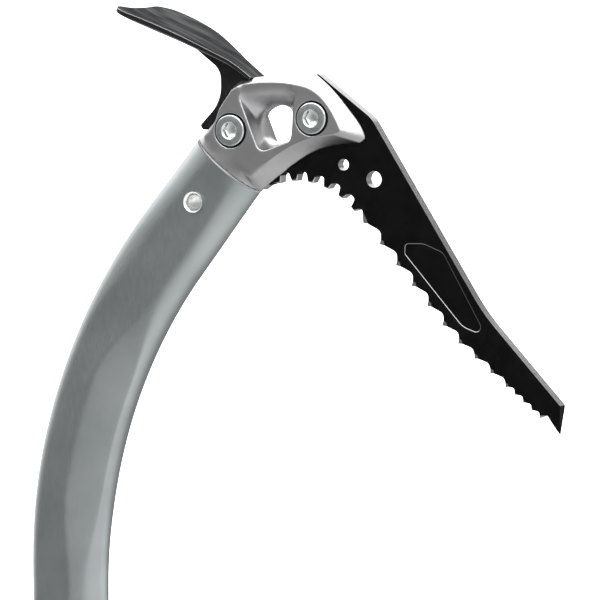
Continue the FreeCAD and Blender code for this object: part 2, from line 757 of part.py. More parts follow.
def make_spike():
    """Steel spike: point, tether eye and a tang that goes up into the socket."""
    body = new_body("spike", (0, 0, 0), HANDLE_LEAN)
    sketch = new_sketch(body, "spike_outline")
    corners = [
        (-TANG_HALF, TANG_HIGH, 1.0),
        (-TANG_HALF, 12.0, 0),
        (-13.5, 12.0, 1.0),
        (-13.8, -4.0, 8.0),
        (-4.5, -18.0, 12.0),
        (2.0, -32.0, 0.5),
        (9.5, -15.0, 12.0),
        (13.8, 0.0, 8.0),
        (13.5, 12.0, 1.0),
        (TANG_HALF, 12.0, 0),
        (TANG_HALF, TANG_HIGH, 1.0),
    ]
    draw(sketch, outline(corners))
    pad(body, sketch, "Dims.spike_thick")
    holes = new_sketch(body, "spike_holes")
    circle(holes, 0, 0, "eye_dia")
    for height in SPIKE_RIVETS:
        holes.addGeometry(Part.Circle(V(0, height, 0), V(0, 0, 1), SPIKE_RIVET_DIA / 2), False)
    screw_hole = REST_SCREW_DIA / 2 + dim("fit_gap")
    holes.addGeometry(Part.Circle(V(0, REST_SCREW_UP, 0), V(0, 0, 1), screw_hole), False)
    pocket(body, holes, None, through=True)
    return body


def make_spike_socket():
    """End fitting: a shoulder under the tube and a plug inside it, slotted for the tang."""
    body = new_body("spike_socket", (0, 0, 0), HANDLE_LEAN)
    shoulder = new_sketch(body, "socket_shoulder", "XY_Plane", offset=SOCKET_LOW)
    oval(shoulder, dim("axis_wide"), dim("axis_thick"), 0.0)
    pad(body, shoulder, dim("tube_bottom") - SOCKET_LOW, symmetric=False)
    plug = new_sketch(body, "socket_plug", "XY_Plane", offset=SOCKET_LOW)
    oval(plug, dim("axis_wide"), dim("axis_thick"), -dim("tube_wall") - dim("fit_gap"))
    pad(body, plug, SOCKET_HIGH - SOCKET_LOW, symmetric=False)
    slot = new_sketch(body, "socket_slot")
    gap = dim("fit_gap")
    corners = [
        (-TANG_HALF - gap, 0, 0),
        (TANG_HALF + gap, 0, 0),
        (TANG_HALF + gap, TANG_HIGH + gap, 0),
        (-TANG_HALF - gap, TANG_HIGH + gap, 0),
    ]
    draw(slot, outline(corners))
    pocket(body, slot, dim("spike_thick") + 2 * gap, symmetric=True)
    holes = new_sketch(body, "socket_holes")
    for height in SPIKE_RIVETS:
        holes.addGeometry(Part.Circle(V(0, height, 0), V(0, 0, 1), SPIKE_RIVET_DIA / 2), False)
    holes.addGeometry(Part.Circle(V(0, REST_SCREW_UP, 0), V(0, 0, 1), REST_SCREW_DIA / 2 + gap), False)
    pocket(body, holes, None, through=True)
    return body


def make_spike_rivets():
    """Two flush rivets through tube, socket and tang."""
    length = dim("axis_thick") - 0.2
    rivets = [cross_cylinder(UP_HANDLE * height, SPIKE_RIVET_DIA, length) for height in SPIKE_RIVETS]
    return feature_from("spike_rivets", Part.makeCompound(rivets))


# Folding hand rest ----------------------------------------------------------

BRACKET_LOW = 21.0
BRACKET_HIGH = 45.0
BRACKET_WALL = 4.0
PIVOT = (27.5, 29.5)
LUG_HALF = 6.0
EAR_HALF = 10.2


def make_hand_rest_bracket():
    """Moulded collar round the tube's end with a lug for the hand rest's pivot."""
    body = new_body("hand_rest_bracket", (0, 0, 0), HANDLE_LEAN)
    ring = new_sketch(body, "bracket_ring", "XY_Plane", offset=BRACKET_LOW)
    oval(ring, dim("axis_wide"), dim("axis_thick"), BRACKET_WALL)
    pad(body, ring, BRACKET_HIGH - BRACKET_LOW, symmetric=False)
    lug = new_sketch(body, "bracket_lug")
    across, up = PIVOT
    corners = [(10.0, 23.0, 0), (across + 5.5, 23.0, 4.0), (across + 5.5, 36.0, 4.0), (20.0, 38.0, 0), (10.0, 38.0, 0)]
    draw(lug, outline(corners))
    pad(body, lug, 2 * LUG_HALF)
    inside = new_sketch(body, "bracket_inside", "XY_Plane", offset=BRACKET_HIGH)
    oval(inside, dim("axis_wide"), dim("axis_thick"), 0.05)
    pocket(body, inside, BRACKET_HIGH - BRACKET_LOW)
    holes = new_sketch(body, "bracket_holes")
    circle(holes, across, up, "pin_dia")
    holes.addGeometry(Part.Circle(V(0, REST_SCREW_UP, 0), V(0, 0, 1), REST_SCREW_DIA / 2 + 0.1), False)
    pocket(body, holes, None, through=True)
    outer = dim("axis_thick") / 2 + BRACKET_WALL
    sink = new_sketch(body, "bracket_sink", offset=outer)
    sink.addGeometry(Part.Circle(V(0, REST_SCREW_UP, 0), V(0, 0, 1), REST_HEAD_DIA / 2 + 0.2), False)
    pocket(body, sink, REST_HEAD_TALL)
    trap = new_sketch(body, "bracket_trap", offset=-outer)
    draw(trap, shifted(hexagon_edges(REST_NUT_FLATS + 0.2), V(0, REST_SCREW_UP, 0)))
    pocket(body, trap, REST_HEAD_TALL, reverse=True)
    return body


REST_HEAD_DIA = 8.5
REST_HEAD_TALL = 3.0
REST_NUT_FLATS = 8.0


def shifted(edges, step):
    """The same edges, moved."""
    for edge in edges:
        edge.translate(step)
    return edges


def make_hand_rest_fasteners():
    """Cross screw and nut of the bracket, and the pivot pin."""
    centre = UP_HANDLE * REST_SCREW_UP
    outer = dim("axis_thick") / 2 + BRACKET_WALL
    seat = -outer + REST_HEAD_TALL
    screw = make_bolt("hand_rest_screw", centre, REST_SCREW_DIA, REST_HEAD_DIA, 2.8, seat, outer - 0.3, 3.0)
    nut_start = outer - REST_HEAD_TALL + 0.05
    nut = make_nut("hand_rest_nut", centre, REST_NUT_FLATS, 2.7, REST_SCREW_DIA + 0.04, nut_start)
    for piece in (screw, nut):
        piece.Placement = App.Placement(centre, App.Rotation(V(0, 1, 0), HANDLE_LEAN))
    pin = doc.addObject("Part::Cylinder", "hand_rest_pin")
    pin.setExpression("Radius", "Dims.pin_dia / 2")
    pin.Height = 2 * EAR_HALF
    pin.Placement = App.Placement(pivot_point() - V(0, EAR_HALF, 0), App.Rotation(V(1, 0, 0), -90))
    return [screw, nut, pin]


def pivot_point():
    """Axis of the hand rest's pivot in the part's frame."""
    turn = App.Rotation(V(0, 1, 0), HANDLE_LEAN)
    return turn.multVec(V(PIVOT[0], 0, PIVOT[1]))


def make_hand_rest():
    """Folding rest: a forked finger shelf that turns about the pivot pin."""
    body = new_body("hand_rest", pivot_point(), HANDLE_LEAN)
    shelf = new_sketch(body, "rest_outline")
    corners = [
        (-4.8, -4.8, 4.7),
        (7.0, -4.8, 3.0),
        (30.0, 1.0, 10.0),
        (38.5, 6.0, 3.0),
        (36.0, 12.5, 3.0),
        (11.0, 7.2, 3.0),
        (4.0, 4.8, 3.0),
        (-4.8, 4.8, 4.7),
    ]
    draw(shelf, outline(corners))
    pad(body, shelf, 26.0)
    fork = new_sketch(body, "rest_fork")
    draw(fork, outline([(-10.0, -20.0, 0), (9.4, -20.0, 0), (9.4, 20.0, 0), (-10.0, 20.0, 0)]))
    pocket(body, fork, 2 * LUG_HALF + 0.8, symmetric=True)
    for side, name in ((1, "near_ear_trim"), (-1, "far_ear_trim")):
        trim = new_sketch(body, name, "XY_Plane", offset=20.0)
        draw(trim, outline([
            (-10.0, side * EAR_HALF, 0),
            (10.0, side * EAR_HALF, 0),
            (14.0, side * 14.0, 0),
            (-10.0, side * 14.0, 0),
        ]))
        pocket(body, trim, 40.0)
    hole = new_sketch(body, "rest_hole")
    circle(hole, 0, 0, "pin_dia", 2 * dim("run_gap"))
    pocket(body, hole, None, through=True)
    return body


def make_hand_rest_pad():
    """Rubber shoe on top of the folding rest."""
    body = new_body("hand_rest_pad", pivot_point(), HANDLE_LEAN)
    sketch = new_sketch(body, "rest_pad_outline")
    draw(sketch, outline([(12.5, 7.6, 0), (33.5, 12.05, 0), (33.2, 13.6, 0.7), (12.2, 9.2, 0.7)]))
    pad(body, sketch, 20.0)
    return body


# Sliding finger rest --------------------------------------------------------

COLLAR_MID = V(SHAFT_X, 0, dim("collar_rest"))
LEVER_PIN = (-27.0, 5.0)
WINDOW_HALF = 5.2
EAR_IN = 5.0
EAR_OUT = 8.8
CAM_REACH = 8.9


def cut_window(body, name):
    """Opening for the cam in the back of the collar or its liner."""
    window = new_sketch(body, name)
    draw(window, outline([(-30.0, -4.0, 0), (-10.0, -4.0, 0), (-10.0, 10.5, 0), (-30.0, 10.5, 0)]))
    pocket(body, window, 2 * WINDOW_HALF, symmetric=True)


def make_trigger_collar():
    """Moulded collar that slides on the shaft, with a finger hook and two lever ears."""
    body = new_body("trigger_collar", COLLAR_MID)
    half = dim("collar_tall") / 2
    inner = dim("slide_gap") + dim("liner_thick")
    ring = new_sketch(body, "collar_ring", "XY_Plane", offset=-half)
    oval(ring, dim("axis_wide"), dim("axis_thick"), inner + dim("collar_wall"))
    pad(body, ring, "Dims.collar_tall", symmetric=False)
    hook = new_sketch(body, "finger_hook")
    draw(hook, outline([
        (12.0, 11.5, 0),
        (26.0, 11.5, 4.0),
        (38.0, 3.0, 10.0),
        (49.0, 1.0, 3.0),
        (52.0, -5.0, 2.5),
        (44.0, -9.0, 6.0),
        (30.0, -6.5, 6.0),
        (24.0, -12.5, 3.0),
        (12.0, -12.5, 0),
    ]))
    pad(body, hook, 16.0)
    ears = new_sketch(body, "lever_ears")
    across, up = LEVER_PIN
    draw(ears, outline([(-12.0, 12.5, 0), (across - 1.0, up + 5.5, 4.0), (across - 3.5, up - 5.0, 3.0), (-12.0, -6.0, 0)]))
    pad(body, ears, 2 * EAR_OUT)
    gap = new_sketch(body, "ear_gap")
    draw(gap, outline([(-40.0, -13.5, 0), (-23.1, -13.5, 0), (-23.1, 20.0, 0), (-40.0, 20.0, 0)]))
    pocket(body, gap, 2 * EAR_IN, symmetric=True)
    inside = new_sketch(body, "collar_inside", "XY_Plane", offset=half)
    oval(inside, dim("axis_wide"), dim("axis_thick"), inner)
    pocket(body, inside, "Dims.collar_tall")
    cut_window(body, "collar_window")
    hole = new_sketch(body, "lever_pin_hole")
    circle(hole, across, up, "lever_pin_dia")
    pocket(body, hole, None, through=True)
    return body


def make_trigger_liner():
    """Rubber ring between the collar and the shaft."""
    body = new_body("trigger_liner", COLLAR_MID)
    sketch = new_sketch(body, "liner_ring", "XY_Plane", offset=-dim("collar_tall") / 2 + 1.0)
    oval(sketch, dim("axis_wide"), dim("axis_thick"), dim("slide_gap") + dim("liner_thick"))
    oval(sketch, dim("axis_wide"), dim("axis_thick"), dim("slide_gap"))
    pad(body, sketch, dim("collar_tall") - 2.0, symmetric=False)
    cut_window(body, "liner_window")
    return body


def make_trigger_lever():
    """Cam lever: its nose grips the shaft when the arm lies against the collar."""
    centre = COLLAR_MID + V(LEVER_PIN[0], 0, LEVER_PIN[1])
    body = new_body("trigger_lever", centre)
    sketch = new_sketch(body, "lever_outline")
    draw(sketch, outline([
        (-3.6, 3.8, 3.5),
        (3.0, 3.8, 1.5),
        (CAM_REACH, 2.2, 1.2),
        (CAM_REACH - 0.8, -2.6, 1.2),
        (3.2, -3.8, 1.0),
        (2.4, -12.0, 6.0),
        (3.0, -26.0, 2.0),
        (-1.5, -30.0, 2.0),
        (-4.0, -26.0, 2.0),
    ]))
    pad(body, sketch, 2 * (EAR_IN - 0.3))
    hole = new_sketch(body, "lever_hole")
    circle(hole, 0, 0, "lever_pin_dia", 2 * dim("run_gap"))
    pocket(body, hole, None, through=True)
    return body


def make_trigger_lever_pin():
    """Pivot pin of the cam lever, pressed in the collar's ears."""
    pin = doc.addObject("Part::Cylinder", "trigger_lever_pin")
    pin.setExpression("Radius", "Dims.lever_pin_dia / 2")
    pin.Height = 2 * EAR_OUT
    start = COLLAR_MID + V(LEVER_PIN[0], -EAR_OUT, LEVER_PIN[1])
    pin.Placement = App.Placement(start, App.Rotation(V(1, 0, 0), -90))
    return pin


def make_all():
    """Every piece of the axe, as document objects."""
    pieces = [make_shaft_tube(), make_head(), make_head_gasket(), make_head_rivet()]
    pieces += [make_pick(), make_adze()]
    pieces += make_head_bolts()
    pieces += [make_shaft_plug(), make_grip_sleeve()]
    pieces += [make_spike(), make_spike_socket(), make_spike_rivets()]
    pieces += [make_hand_rest_bracket(), make_hand_rest(), make_hand_rest_pad()]
    pieces += make_hand_rest_fasteners()
    pieces += [make_trigger_collar(), make_trigger_liner(), make_trigger_lever(), make_trigger_lever_pin()]
    return pieces


def check(pieces):
    """Stop if any object failed or any piece is empty or not a valid shape."""
    doc.recompute()
    for item in doc.Objects:
        if "Invalid" in item.State or "Error" in item.State:
            raise ValueError("%s is in state %s" % (item.Name, item.State))
    for piece in pieces:
        if piece.Shape.isNull() or not piece.Shape.isValid():
            raise ValueError("%s has no valid shape" % piece.Name)
        if not piece.Shape.Solids:
            raise ValueError("%s has no solid" % piece.Name)


def export(pieces):
    """Write each piece to its own STEP file."""
    os.makedirs(OUT, exist_ok=True)
    for piece in pieces:
        piece.Label = piece.Name
        piece.Shape.exportStep(os.path.join(OUT, piece.Label + ".step"))
        box = piece.Shape.BoundBox
        print("%-20s solids %d volume %9.1f x %6.1f..%6.1f y %5.1f..%5.1f z %6.1f..%6.1f" % (
            piece.Label, len(piece.Shape.Solids), piece.Shape.Volume,
            box.XMin, box.XMax, box.YMin, box.YMax, box.ZMin, box.ZMax))


PIECES = make_all()
check(PIECES)
export(PIECES)
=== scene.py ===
"""Looks of the technical ice axe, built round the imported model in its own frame.

Lengths in this script are millimetres in the part's frame, turned to metres by MM.
Pieces of the head are drawn from the axis of the pick bolt, the middle of its CAD node.
"""
import json
import math

import bmesh
import bpy
import numpy as np
from mathutils import Matrix, Vector
from mathutils.geometry import tessellate_polygon


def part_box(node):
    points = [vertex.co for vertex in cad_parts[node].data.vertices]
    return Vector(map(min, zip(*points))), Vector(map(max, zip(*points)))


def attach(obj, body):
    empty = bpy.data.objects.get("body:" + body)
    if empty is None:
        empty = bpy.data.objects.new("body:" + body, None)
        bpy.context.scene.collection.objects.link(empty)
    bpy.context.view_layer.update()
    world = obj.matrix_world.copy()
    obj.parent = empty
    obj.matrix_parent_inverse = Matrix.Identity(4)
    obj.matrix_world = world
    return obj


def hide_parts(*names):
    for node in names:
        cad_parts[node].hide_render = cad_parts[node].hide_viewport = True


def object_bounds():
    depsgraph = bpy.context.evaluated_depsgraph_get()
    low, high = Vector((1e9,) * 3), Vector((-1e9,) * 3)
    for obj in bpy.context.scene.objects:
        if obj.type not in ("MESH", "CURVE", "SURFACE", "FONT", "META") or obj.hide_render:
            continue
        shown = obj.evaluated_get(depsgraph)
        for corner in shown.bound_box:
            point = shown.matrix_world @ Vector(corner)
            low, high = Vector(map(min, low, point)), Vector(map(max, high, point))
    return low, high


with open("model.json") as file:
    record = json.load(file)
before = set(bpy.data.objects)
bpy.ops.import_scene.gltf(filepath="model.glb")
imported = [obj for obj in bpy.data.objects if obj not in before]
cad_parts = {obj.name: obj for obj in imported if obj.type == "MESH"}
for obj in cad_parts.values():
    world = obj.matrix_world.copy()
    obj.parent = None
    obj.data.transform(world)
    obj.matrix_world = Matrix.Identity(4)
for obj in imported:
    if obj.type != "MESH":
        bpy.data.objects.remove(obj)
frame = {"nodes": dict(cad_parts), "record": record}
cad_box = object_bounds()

MM = 0.001


def middle(node):
    """Middle of a CAD node's box."""
    low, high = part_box(node)
    return (low + high) / 2


def axis_of(node):
    """Middle of a CAD node's box, moved onto the centre plane of the axe."""
    place = middle(node)
    place.y = 0
    return place


# The two head bolts: one as a place in the frame, the other in mm from it.
BOLT = axis_of("pick_bolt")
ADZE_BOLT = (axis_of("adze_bolt") - BOLT) / MM
# Lean of the handle and of the tube's upper end from the vertical.
LEAN_HANDLE = math.radians(-10.0)
LEAN_NECK = math.radians(38.4)
HANDLE_UP = Vector((math.sin(LEAN_HANDLE), 0, math.cos(LEAN_HANDLE)))


# Materials --------------------------------------------------------------------

class Paint:
    """A procedural material under construction: its nodes, links and main shader."""

    def __init__(self, name, colour, metallic, roughness, specular=0.5):
        self.material = bpy.data.materials.new(name)
        self.material.use_nodes = True
        self.tree = self.material.node_tree
        self.shader = self.tree.nodes["Principled BSDF"]
        self.shader.inputs["Base Color"].default_value = (*colour, 1)
        self.shader.inputs["Metallic"].default_value = metallic
        self.shader.inputs["Roughness"].default_value = roughness
        self.shader.inputs["Specular IOR Level"].default_value = specular
        self.place = self.node("ShaderNodeTexCoord").outputs["Object"]

    def node(self, kind, **values):
        """New node with some of its properties set."""
        node = self.tree.nodes.new(kind)
        for key, value in values.items():
            setattr(node, key, value)
        return node

    def link(self, output, target):
        """Link an output to an input socket."""
        self.tree.links.new(output, target)

    def noise(self, size, detail=4.0, stretch=(1, 1, 1), rough=0.55):
        """Noise whose features measure about size mm, stretched in object space."""
        mapping = self.node("ShaderNodeMapping")
        mapping.inputs["Scale"].default_value = stretch
        self.link(self.place, mapping.inputs["Vector"])
        noise = self.node("ShaderNodeTexNoise")
        noise.inputs["Scale"].default_value = 1 / (size * MM)
        noise.inputs["Detail"].default_value = detail
        noise.inputs["Roughness"].default_value = rough
        self.link(mapping.outputs["Vector"], noise.inputs["Vector"])
        return noise.outputs["Fac"]

    def spread(self, value, low, high, start=0.3, end=0.7):
        """A value mapped smoothly between two levels."""
        ramp = self.node("ShaderNodeMapRange", interpolation_type="SMOOTHSTEP")
        ramp.inputs["From Min"].default_value = start
        ramp.inputs["From Max"].default_value = end
        ramp.inputs["To Min"].default_value = low
        ramp.inputs["To Max"].default_value = high
        self.link(value, ramp.inputs["Value"])
        return ramp.outputs["Result"]

    def mix(self, factor, first, second):
        """Two colours mixed by a factor."""
        mix = self.node("ShaderNodeMix", data_type="RGBA")
        self.link(factor, mix.inputs["Factor"])
        for socket, colour in ((mix.inputs[6], first), (mix.inputs[7], second)):
            if isinstance(colour, tuple):
                socket.default_value = (*colour, 1)
            else:
                self.link(colour, socket)
        return mix.outputs[2]

    def colour(self, output):
        """Drive the base colour."""
        self.link(output, self.shader.inputs["Base Color"])

    def roughness(self, output):
        """Drive the roughness."""
        self.link(output, self.shader.inputs["Roughness"])

    def bump(self, height, depth, strength=1.0):
        """Add a bump of a depth in mm on top of those already there."""
        bump = self.node("ShaderNodeBump")
        bump.inputs["Distance"].default_value = depth * MM
        bump.inputs["Strength"].default_value = strength
        self.link(height, bump.inputs["Height"])
        normal = self.shader.inputs["Normal"]
        if normal.is_linked:
            self.link(normal.links[0].from_socket, bump.inputs["Normal"])
        self.link(bump.outputs["Normal"], normal)


def anodised_tube():
    """Grey anodised aluminium with a fine grain along the tube."""
    paint = Paint("anodised_tube", (0.34, 0.365, 0.37), 1.0, 0.36)
    cloud = paint.noise(28.0, 3.0)
    paint.colour(paint.mix(paint.spread(cloud, 0, 1), (0.315, 0.34, 0.345), (0.365, 0.39, 0.395)))
    grain = paint.noise(0.35, 2.0, stretch=(1, 1, 0.06))
    paint.roughness(paint.spread(grain, 0.33, 0.42))
    paint.bump(grain, 0.006, 0.5)
    paint.bump(paint.noise(0.12, 2.0), 0.004, 0.5)
    return paint.material


def cast_head():
    """Satin investment casting: fine orange peel, gentle waves and soft clouds."""
    paint = Paint("cast_head", (0.40, 0.40, 0.405), 1.0, 0.34)
    cloud = paint.noise(14.0, 4.0)
    paint.colour(paint.mix(paint.spread(cloud, 0, 1), (0.37, 0.37, 0.375), (0.43, 0.43, 0.435)))
    peel = paint.noise(0.5, 3.0)
    paint.roughness(paint.spread(peel, 0.30, 0.38))
    paint.bump(peel, 0.012, 0.5)
    paint.bump(paint.noise(3.0, 2.0), 0.02, 0.4)
    return paint.material


def black_steel(name="black_steel", level=0.0016, specular=0.045):
    """Phosphated spring steel: near-black, fine-grained, faintly cloudy."""
    paint = Paint(name, (level, level, level), 0.0, 0.5, specular)
    cloud = paint.noise(9.0, 5.0)
    low = (level * 0.8, level * 0.8, level * 0.8)
    high = (level * 1.35, level * 1.35, level * 1.4)
    paint.colour(paint.mix(paint.spread(cloud, 0, 1), low, high))
    grain = paint.noise(0.25, 3.0)
    paint.roughness(paint.spread(grain, 0.44, 0.58))
    paint.bump(grain, 0.01, 0.5)
    return paint.material


def ground_edge():
    """Bare steel left by the grinding wheel, scored across its length."""
    paint = Paint("ground_edge", (0.38, 0.38, 0.38), 1.0, 0.2)
    score = paint.noise(0.18, 3.0, stretch=(1, 0.08, 1))
    paint.colour(paint.mix(paint.spread(score, 0, 1), (0.35, 0.35, 0.355), (0.41, 0.41, 0.41)))
    paint.roughness(paint.spread(score, 0.16, 0.24))
    paint.bump(score, 0.01, 0.6)
    return paint.material


def adze_steel():
    """Dark coating on the forged blade with no specular reflection, and faint lighter streaks along it as
    painted sheen.
    """
    paint = Paint("adze_steel", (0.03, 0.03, 0.031), 0.0, 0.5, 0.0)
    cloud = paint.noise(9.0, 4.0)
    # Lighter streaks along the blade are painted sheen, standing in for the reflection of its dished top.
    painted_sheen = paint.noise(7.0, 2.0, stretch=(0.22, 1, 0.22))
    dark = paint.mix(paint.spread(cloud, 0, 1), (0.016, 0.016, 0.0165), (0.028, 0.028, 0.029))
    paint.colour(paint.mix(paint.spread(painted_sheen, 0, 1, 0.42, 0.68), dark, (0.05, 0.051, 0.052)))
    grain = paint.noise(0.3, 3.0)
    paint.roughness(paint.spread(grain, 0.42, 0.55))
    paint.bump(grain, 0.008, 0.5)
    return paint.material


def plated(name, colour, roughness, pitting=0.004):
    """Zinc plating on turned steel: fine pits and faint clouding."""
    paint = Paint(name, colour, 1.0, roughness)
    cloud = paint.noise(2.5, 3.0)
    darker = tuple(value * 0.88 for value in colour)
    brighter = tuple(min(value * 1.12, 1.0) for value in colour)
    paint.colour(paint.mix(paint.spread(cloud, 0, 1), darker, brighter))
    grain = paint.noise(0.15, 3.0)
    paint.roughness(paint.spread(grain, roughness - 0.05, roughness + 0.08))
    paint.bump(grain, pitting, 0.6)
    return paint.material


def rubber(name, level, size=0.35, depth=0.03):
    """Matt rubber or foam with a pebbled skin."""
    paint = Paint(name, (level, level, level * 1.04), 0.0, 0.72, 0.35)
    pebble = paint.noise(size, 4.0, rough=0.7)
    dust = paint.noise(16.0, 4.0)
    darker = (level * 0.8, level * 0.8, level * 0.83)
    lighter = (level * 1.5, level * 1.5, level * 1.5)
    paint.colour(paint.mix(paint.spread(dust, 0, 1), darker, lighter))
    paint.roughness(paint.spread(pebble, 0.62, 0.82))
    paint.bump(pebble, depth, 0.7)
    return paint.material


def moulding(name, colour, roughness=0.45):
    """Spark-textured nylon moulding."""
    paint = Paint(name, colour, 0.0, roughness, 0.5)
    spark = paint.noise(0.22, 3.0, rough=0.6)
    cloud = paint.noise(12.0, 3.0)
    darker = tuple(value * 0.85 for value in colour)
    lighter = tuple(value * 1.2 for value in colour)
    paint.colour(paint.mix(paint.spread(cloud, 0, 1), darker, lighter))
    paint.roughness(paint.spread(spark, roughness - 0.06, roughness + 0.1))
    paint.bump(spark, 0.02, 0.7)
    return paint.material


PAINTS = {
    "anodised_tube": anodised_tube(),
    "cast_head": cast_head(),
    "gasket": rubber("gasket", 0.16, 0.3, 0.01),
    "rivet": plated("rivet", (0.55, 0.56, 0.56), 0.26),
    "black_steel": black_steel(),
    "adze_steel": adze_steel(),
    "bolt": plated("bolt", (0.42, 0.46, 0.455), 0.3),
    "foam": rubber("foam", 0.05, 0.6, 0.1),
    "grip_rubber": rubber("grip_rubber", 0.018),
    "spike_steel": black_steel("spike_steel", 0.03, 0.5),
    "fitting": moulding("fitting", (0.02, 0.02, 0.021)),
    "moulding": moulding("moulding", (0.016, 0.016, 0.017)),
    "lever": moulding("lever", (0.42, 0.43, 0.44), 0.4),
}
# Finishes that share a CAD node with its main paint; those of the bolts and the rivet are lighter copies of
# the zinc plating that paint in light.
GROUND = ground_edge()
WEB_BLACK = black_steel("adze_web_black", 0.005, 0.12)
# Lighter plating on the bolts' rims and in their sockets: a painted highlight on the rim and painted light
# in the socket, which would otherwise be dark.
GLINT_ZINC = plated("zinc_painted_glint", (0.60, 0.63, 0.62), 0.22)
# Near-white plating inside the rivet and on its inner rolls: painted light on its bore and rim.
RIVET_LIT_PLATING = plated("rivet_bore_painted_light", (0.86, 0.87, 0.86), 0.34, 0.0006)


# Pieces -----------------------------------------------------------------------

def body_of(node):
    """Name of the CAD body that holds a node."""
    for body, members in frame["record"]["behaviour"]["bodies"].items():
        if node in members:
            return body
    raise ValueError(node)


def slot_of(node):
    """Material slot of a node, read from its own material."""
    return frame["nodes"][node].data.materials[0].name.split(".")[0]


SLOTS = {node: slot_of(node) for node in frame["nodes"]}

# Edges sharper than this stay sharp in shading, and edges sharper than the next are rounded.
SHARP_ANGLE = 32.0
ROUNDED_ANGLE = 35.0
# How far vertices of a CAD mesh are apart when they are one, in mm, and what counts as flat.
WELD_GAP = 0.005
FLAT_ANGLE = 0.3
# Share of the way to its neighbours' middle that a vertex moves in each smoothing pass.
EASE_FACTOR = 0.5
RELAX_FACTOR = 0.6


def coat(piece, *paints):
    """Give a piece its materials, in the order of its faces' indices."""
    for paint in paints:
        piece.data.materials.append(paint)


def adopt(piece, node, *paints):
    """Make a piece stand for a CAD node: same body, same slot, its finish unless it has one."""
    if not piece.data.materials:
        coat(piece, *(paints or (PAINTS[SLOTS[node]],)))
    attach(piece, body_of(node))
    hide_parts(node)
    return piece


def new_piece(name, work):
    """Object from a bmesh, smooth but for its sharp edges."""
    bmesh.ops.recalc_face_normals(work, faces=work.faces)
    mark_sharp(work, SHARP_ANGLE)
    mesh = bpy.data.meshes.new(name)
    work.to_mesh(mesh)
    work.free()
    piece = bpy.data.objects.new(name, mesh)
    bpy.context.scene.collection.objects.link(piece)
    return piece


def mark_sharp(work, angle):
    """Smooth faces, with sharp edges where two faces meet at more than an angle."""
    for face in work.faces:
        face.smooth = True
    for edge in work.edges:
        bent = len(edge.link_faces) == 2 and edge.calc_face_angle(0) > math.radians(angle)
        edge.smooth = not bent


def welded(node, name):
    """Closed copy of a CAD node's mesh as a new piece."""
    work = bmesh.new()
    work.from_mesh(frame["nodes"][node].data)
    bmesh.ops.remove_doubles(work, verts=work.verts, dist=WELD_GAP * MM)
    bmesh.ops.dissolve_limit(work, angle_limit=math.radians(FLAT_ANGLE), verts=work.verts, edges=work.edges)
    return new_piece(name, work)


def bake(piece):
    """Apply a piece's modifiers to its mesh."""
    bpy.context.view_layer.update()
    graph = bpy.context.evaluated_depsgraph_get()
    mesh = bpy.data.meshes.new_from_object(piece.evaluated_get(graph))
    old = piece.data
    piece.modifiers.clear()
    piece.data = mesh
    mesh.name = piece.name
    bpy.data.meshes.remove(old)
    return piece


def eased(node, name, width):
    """Copy of a CAD node with its edges rounded over a width in mm."""
    piece = welded(node, name)
    bevel = piece.modifiers.new("edges", "BEVEL")
    bevel.width = width * MM
    bevel.segments = 2
    bevel.limit_method = "ANGLE"
    bevel.angle_limit = math.radians(ROUNDED_ANGLE)
    bevel.harden_normals = True
    adopt(bake(piece), node)


def softened(node, name, voxel, passes):
    """Copy of a CAD node as a casting or moulding: a skin of even voxels, in mm, with eased edges."""
    piece = welded(node, name)
    skin = piece.modifiers.new("skin", "REMESH")
    skin.mode = "VOXEL"
    skin.voxel_size = voxel * MM
    skin.use_smooth_shade = True
    ease = piece.modifiers.new("ease", "SMOOTH")
    ease.factor = EASE_FACTOR
    ease.iterations = passes
    return adopt(bake(piece), node)


def relaxed(piece, passes, weight_of):
    """Even out a piece's surface where a weight of its vertices' places says so."""
    mesh = piece.data
    count = len(mesh.vertices)
    places = np.empty(count * 3)
    mesh.vertices.foreach_get("co", places)
    places = places.reshape(count, 3)
    ends = np.empty(len(mesh.edges) * 2, dtype=np.int32)
    mesh.edges.foreach_get("vertices", ends)
    one, two = ends.reshape(-1, 2).T
    links = np.bincount(one, minlength=count) + np.bincount(two, minlength=count)
    weights = np.array([weight_of(Vector(place) / MM - BOLT / MM) for place in places])
    weights *= RELAX_FACTOR
    for _ in range(passes):
        for axis in range(3):
            values = places[:, axis]
            near = np.bincount(one, values[two], count) + np.bincount(two, values[one], count)
            places[:, axis] = values + weights * (near / links - values)
    mesh.vertices.foreach_set("co", places.ravel())
    mesh.update()


def smooth(value, low, high):
    """Smooth step from 0 to 1 between two values."""
    share = min(max((value - low) / (high - low), 0), 1)
    return share * share * (3 - 2 * share)


def past_line(place, start, end):
    """Distance in mm of a place to the left of a line in the swing plane."""
    along = (Vector(end) - Vector(start)).normalized()
    return along.x * (place.z - start[1]) - along.y * (place.x - start[0])


# Recess in each cheek of the head, from the pick bolt: three corners, the lines that bound it
# on the right and on top, the flat face, and the height above which its rim blends in.
RECESS_TOP_LEFT = (-34.9, 11.0)
RECESS_FOOT = (-24.2, -15.0)
RECESS_RIGHT = (-9.6, -9.4)
RECESS_RIGHT_END = -8.8
RECESS_TOP_END = 13.9
CHEEK_FACE = 10.95
RECESS_BLEND_UP = 9
# Neck of the head: the middle of the seam, from the pick bolt, and how far up the blend goes.
SEAM = Vector((-42.98, 0, -20.38))
NECK_TOP = 16.0


def recess_weight(place):
    """Weight of the recess in each cheek: its bowl and its upper edge, but not its lips."""
    if abs(place.y) > CHEEK_FACE and place.z < RECESS_BLEND_UP:
        return 0
    lip = smooth(past_line(place, RECESS_TOP_LEFT, RECESS_FOOT), 1.2, 4.0)
    foot = smooth(past_line(place, RECESS_FOOT, RECESS_RIGHT), 1.0, 3.0)
    right = smooth(RECESS_RIGHT_END - place.x, 0, 1.5)
    return lip * foot * right * smooth(RECESS_TOP_END - place.z, 0, 1.5)


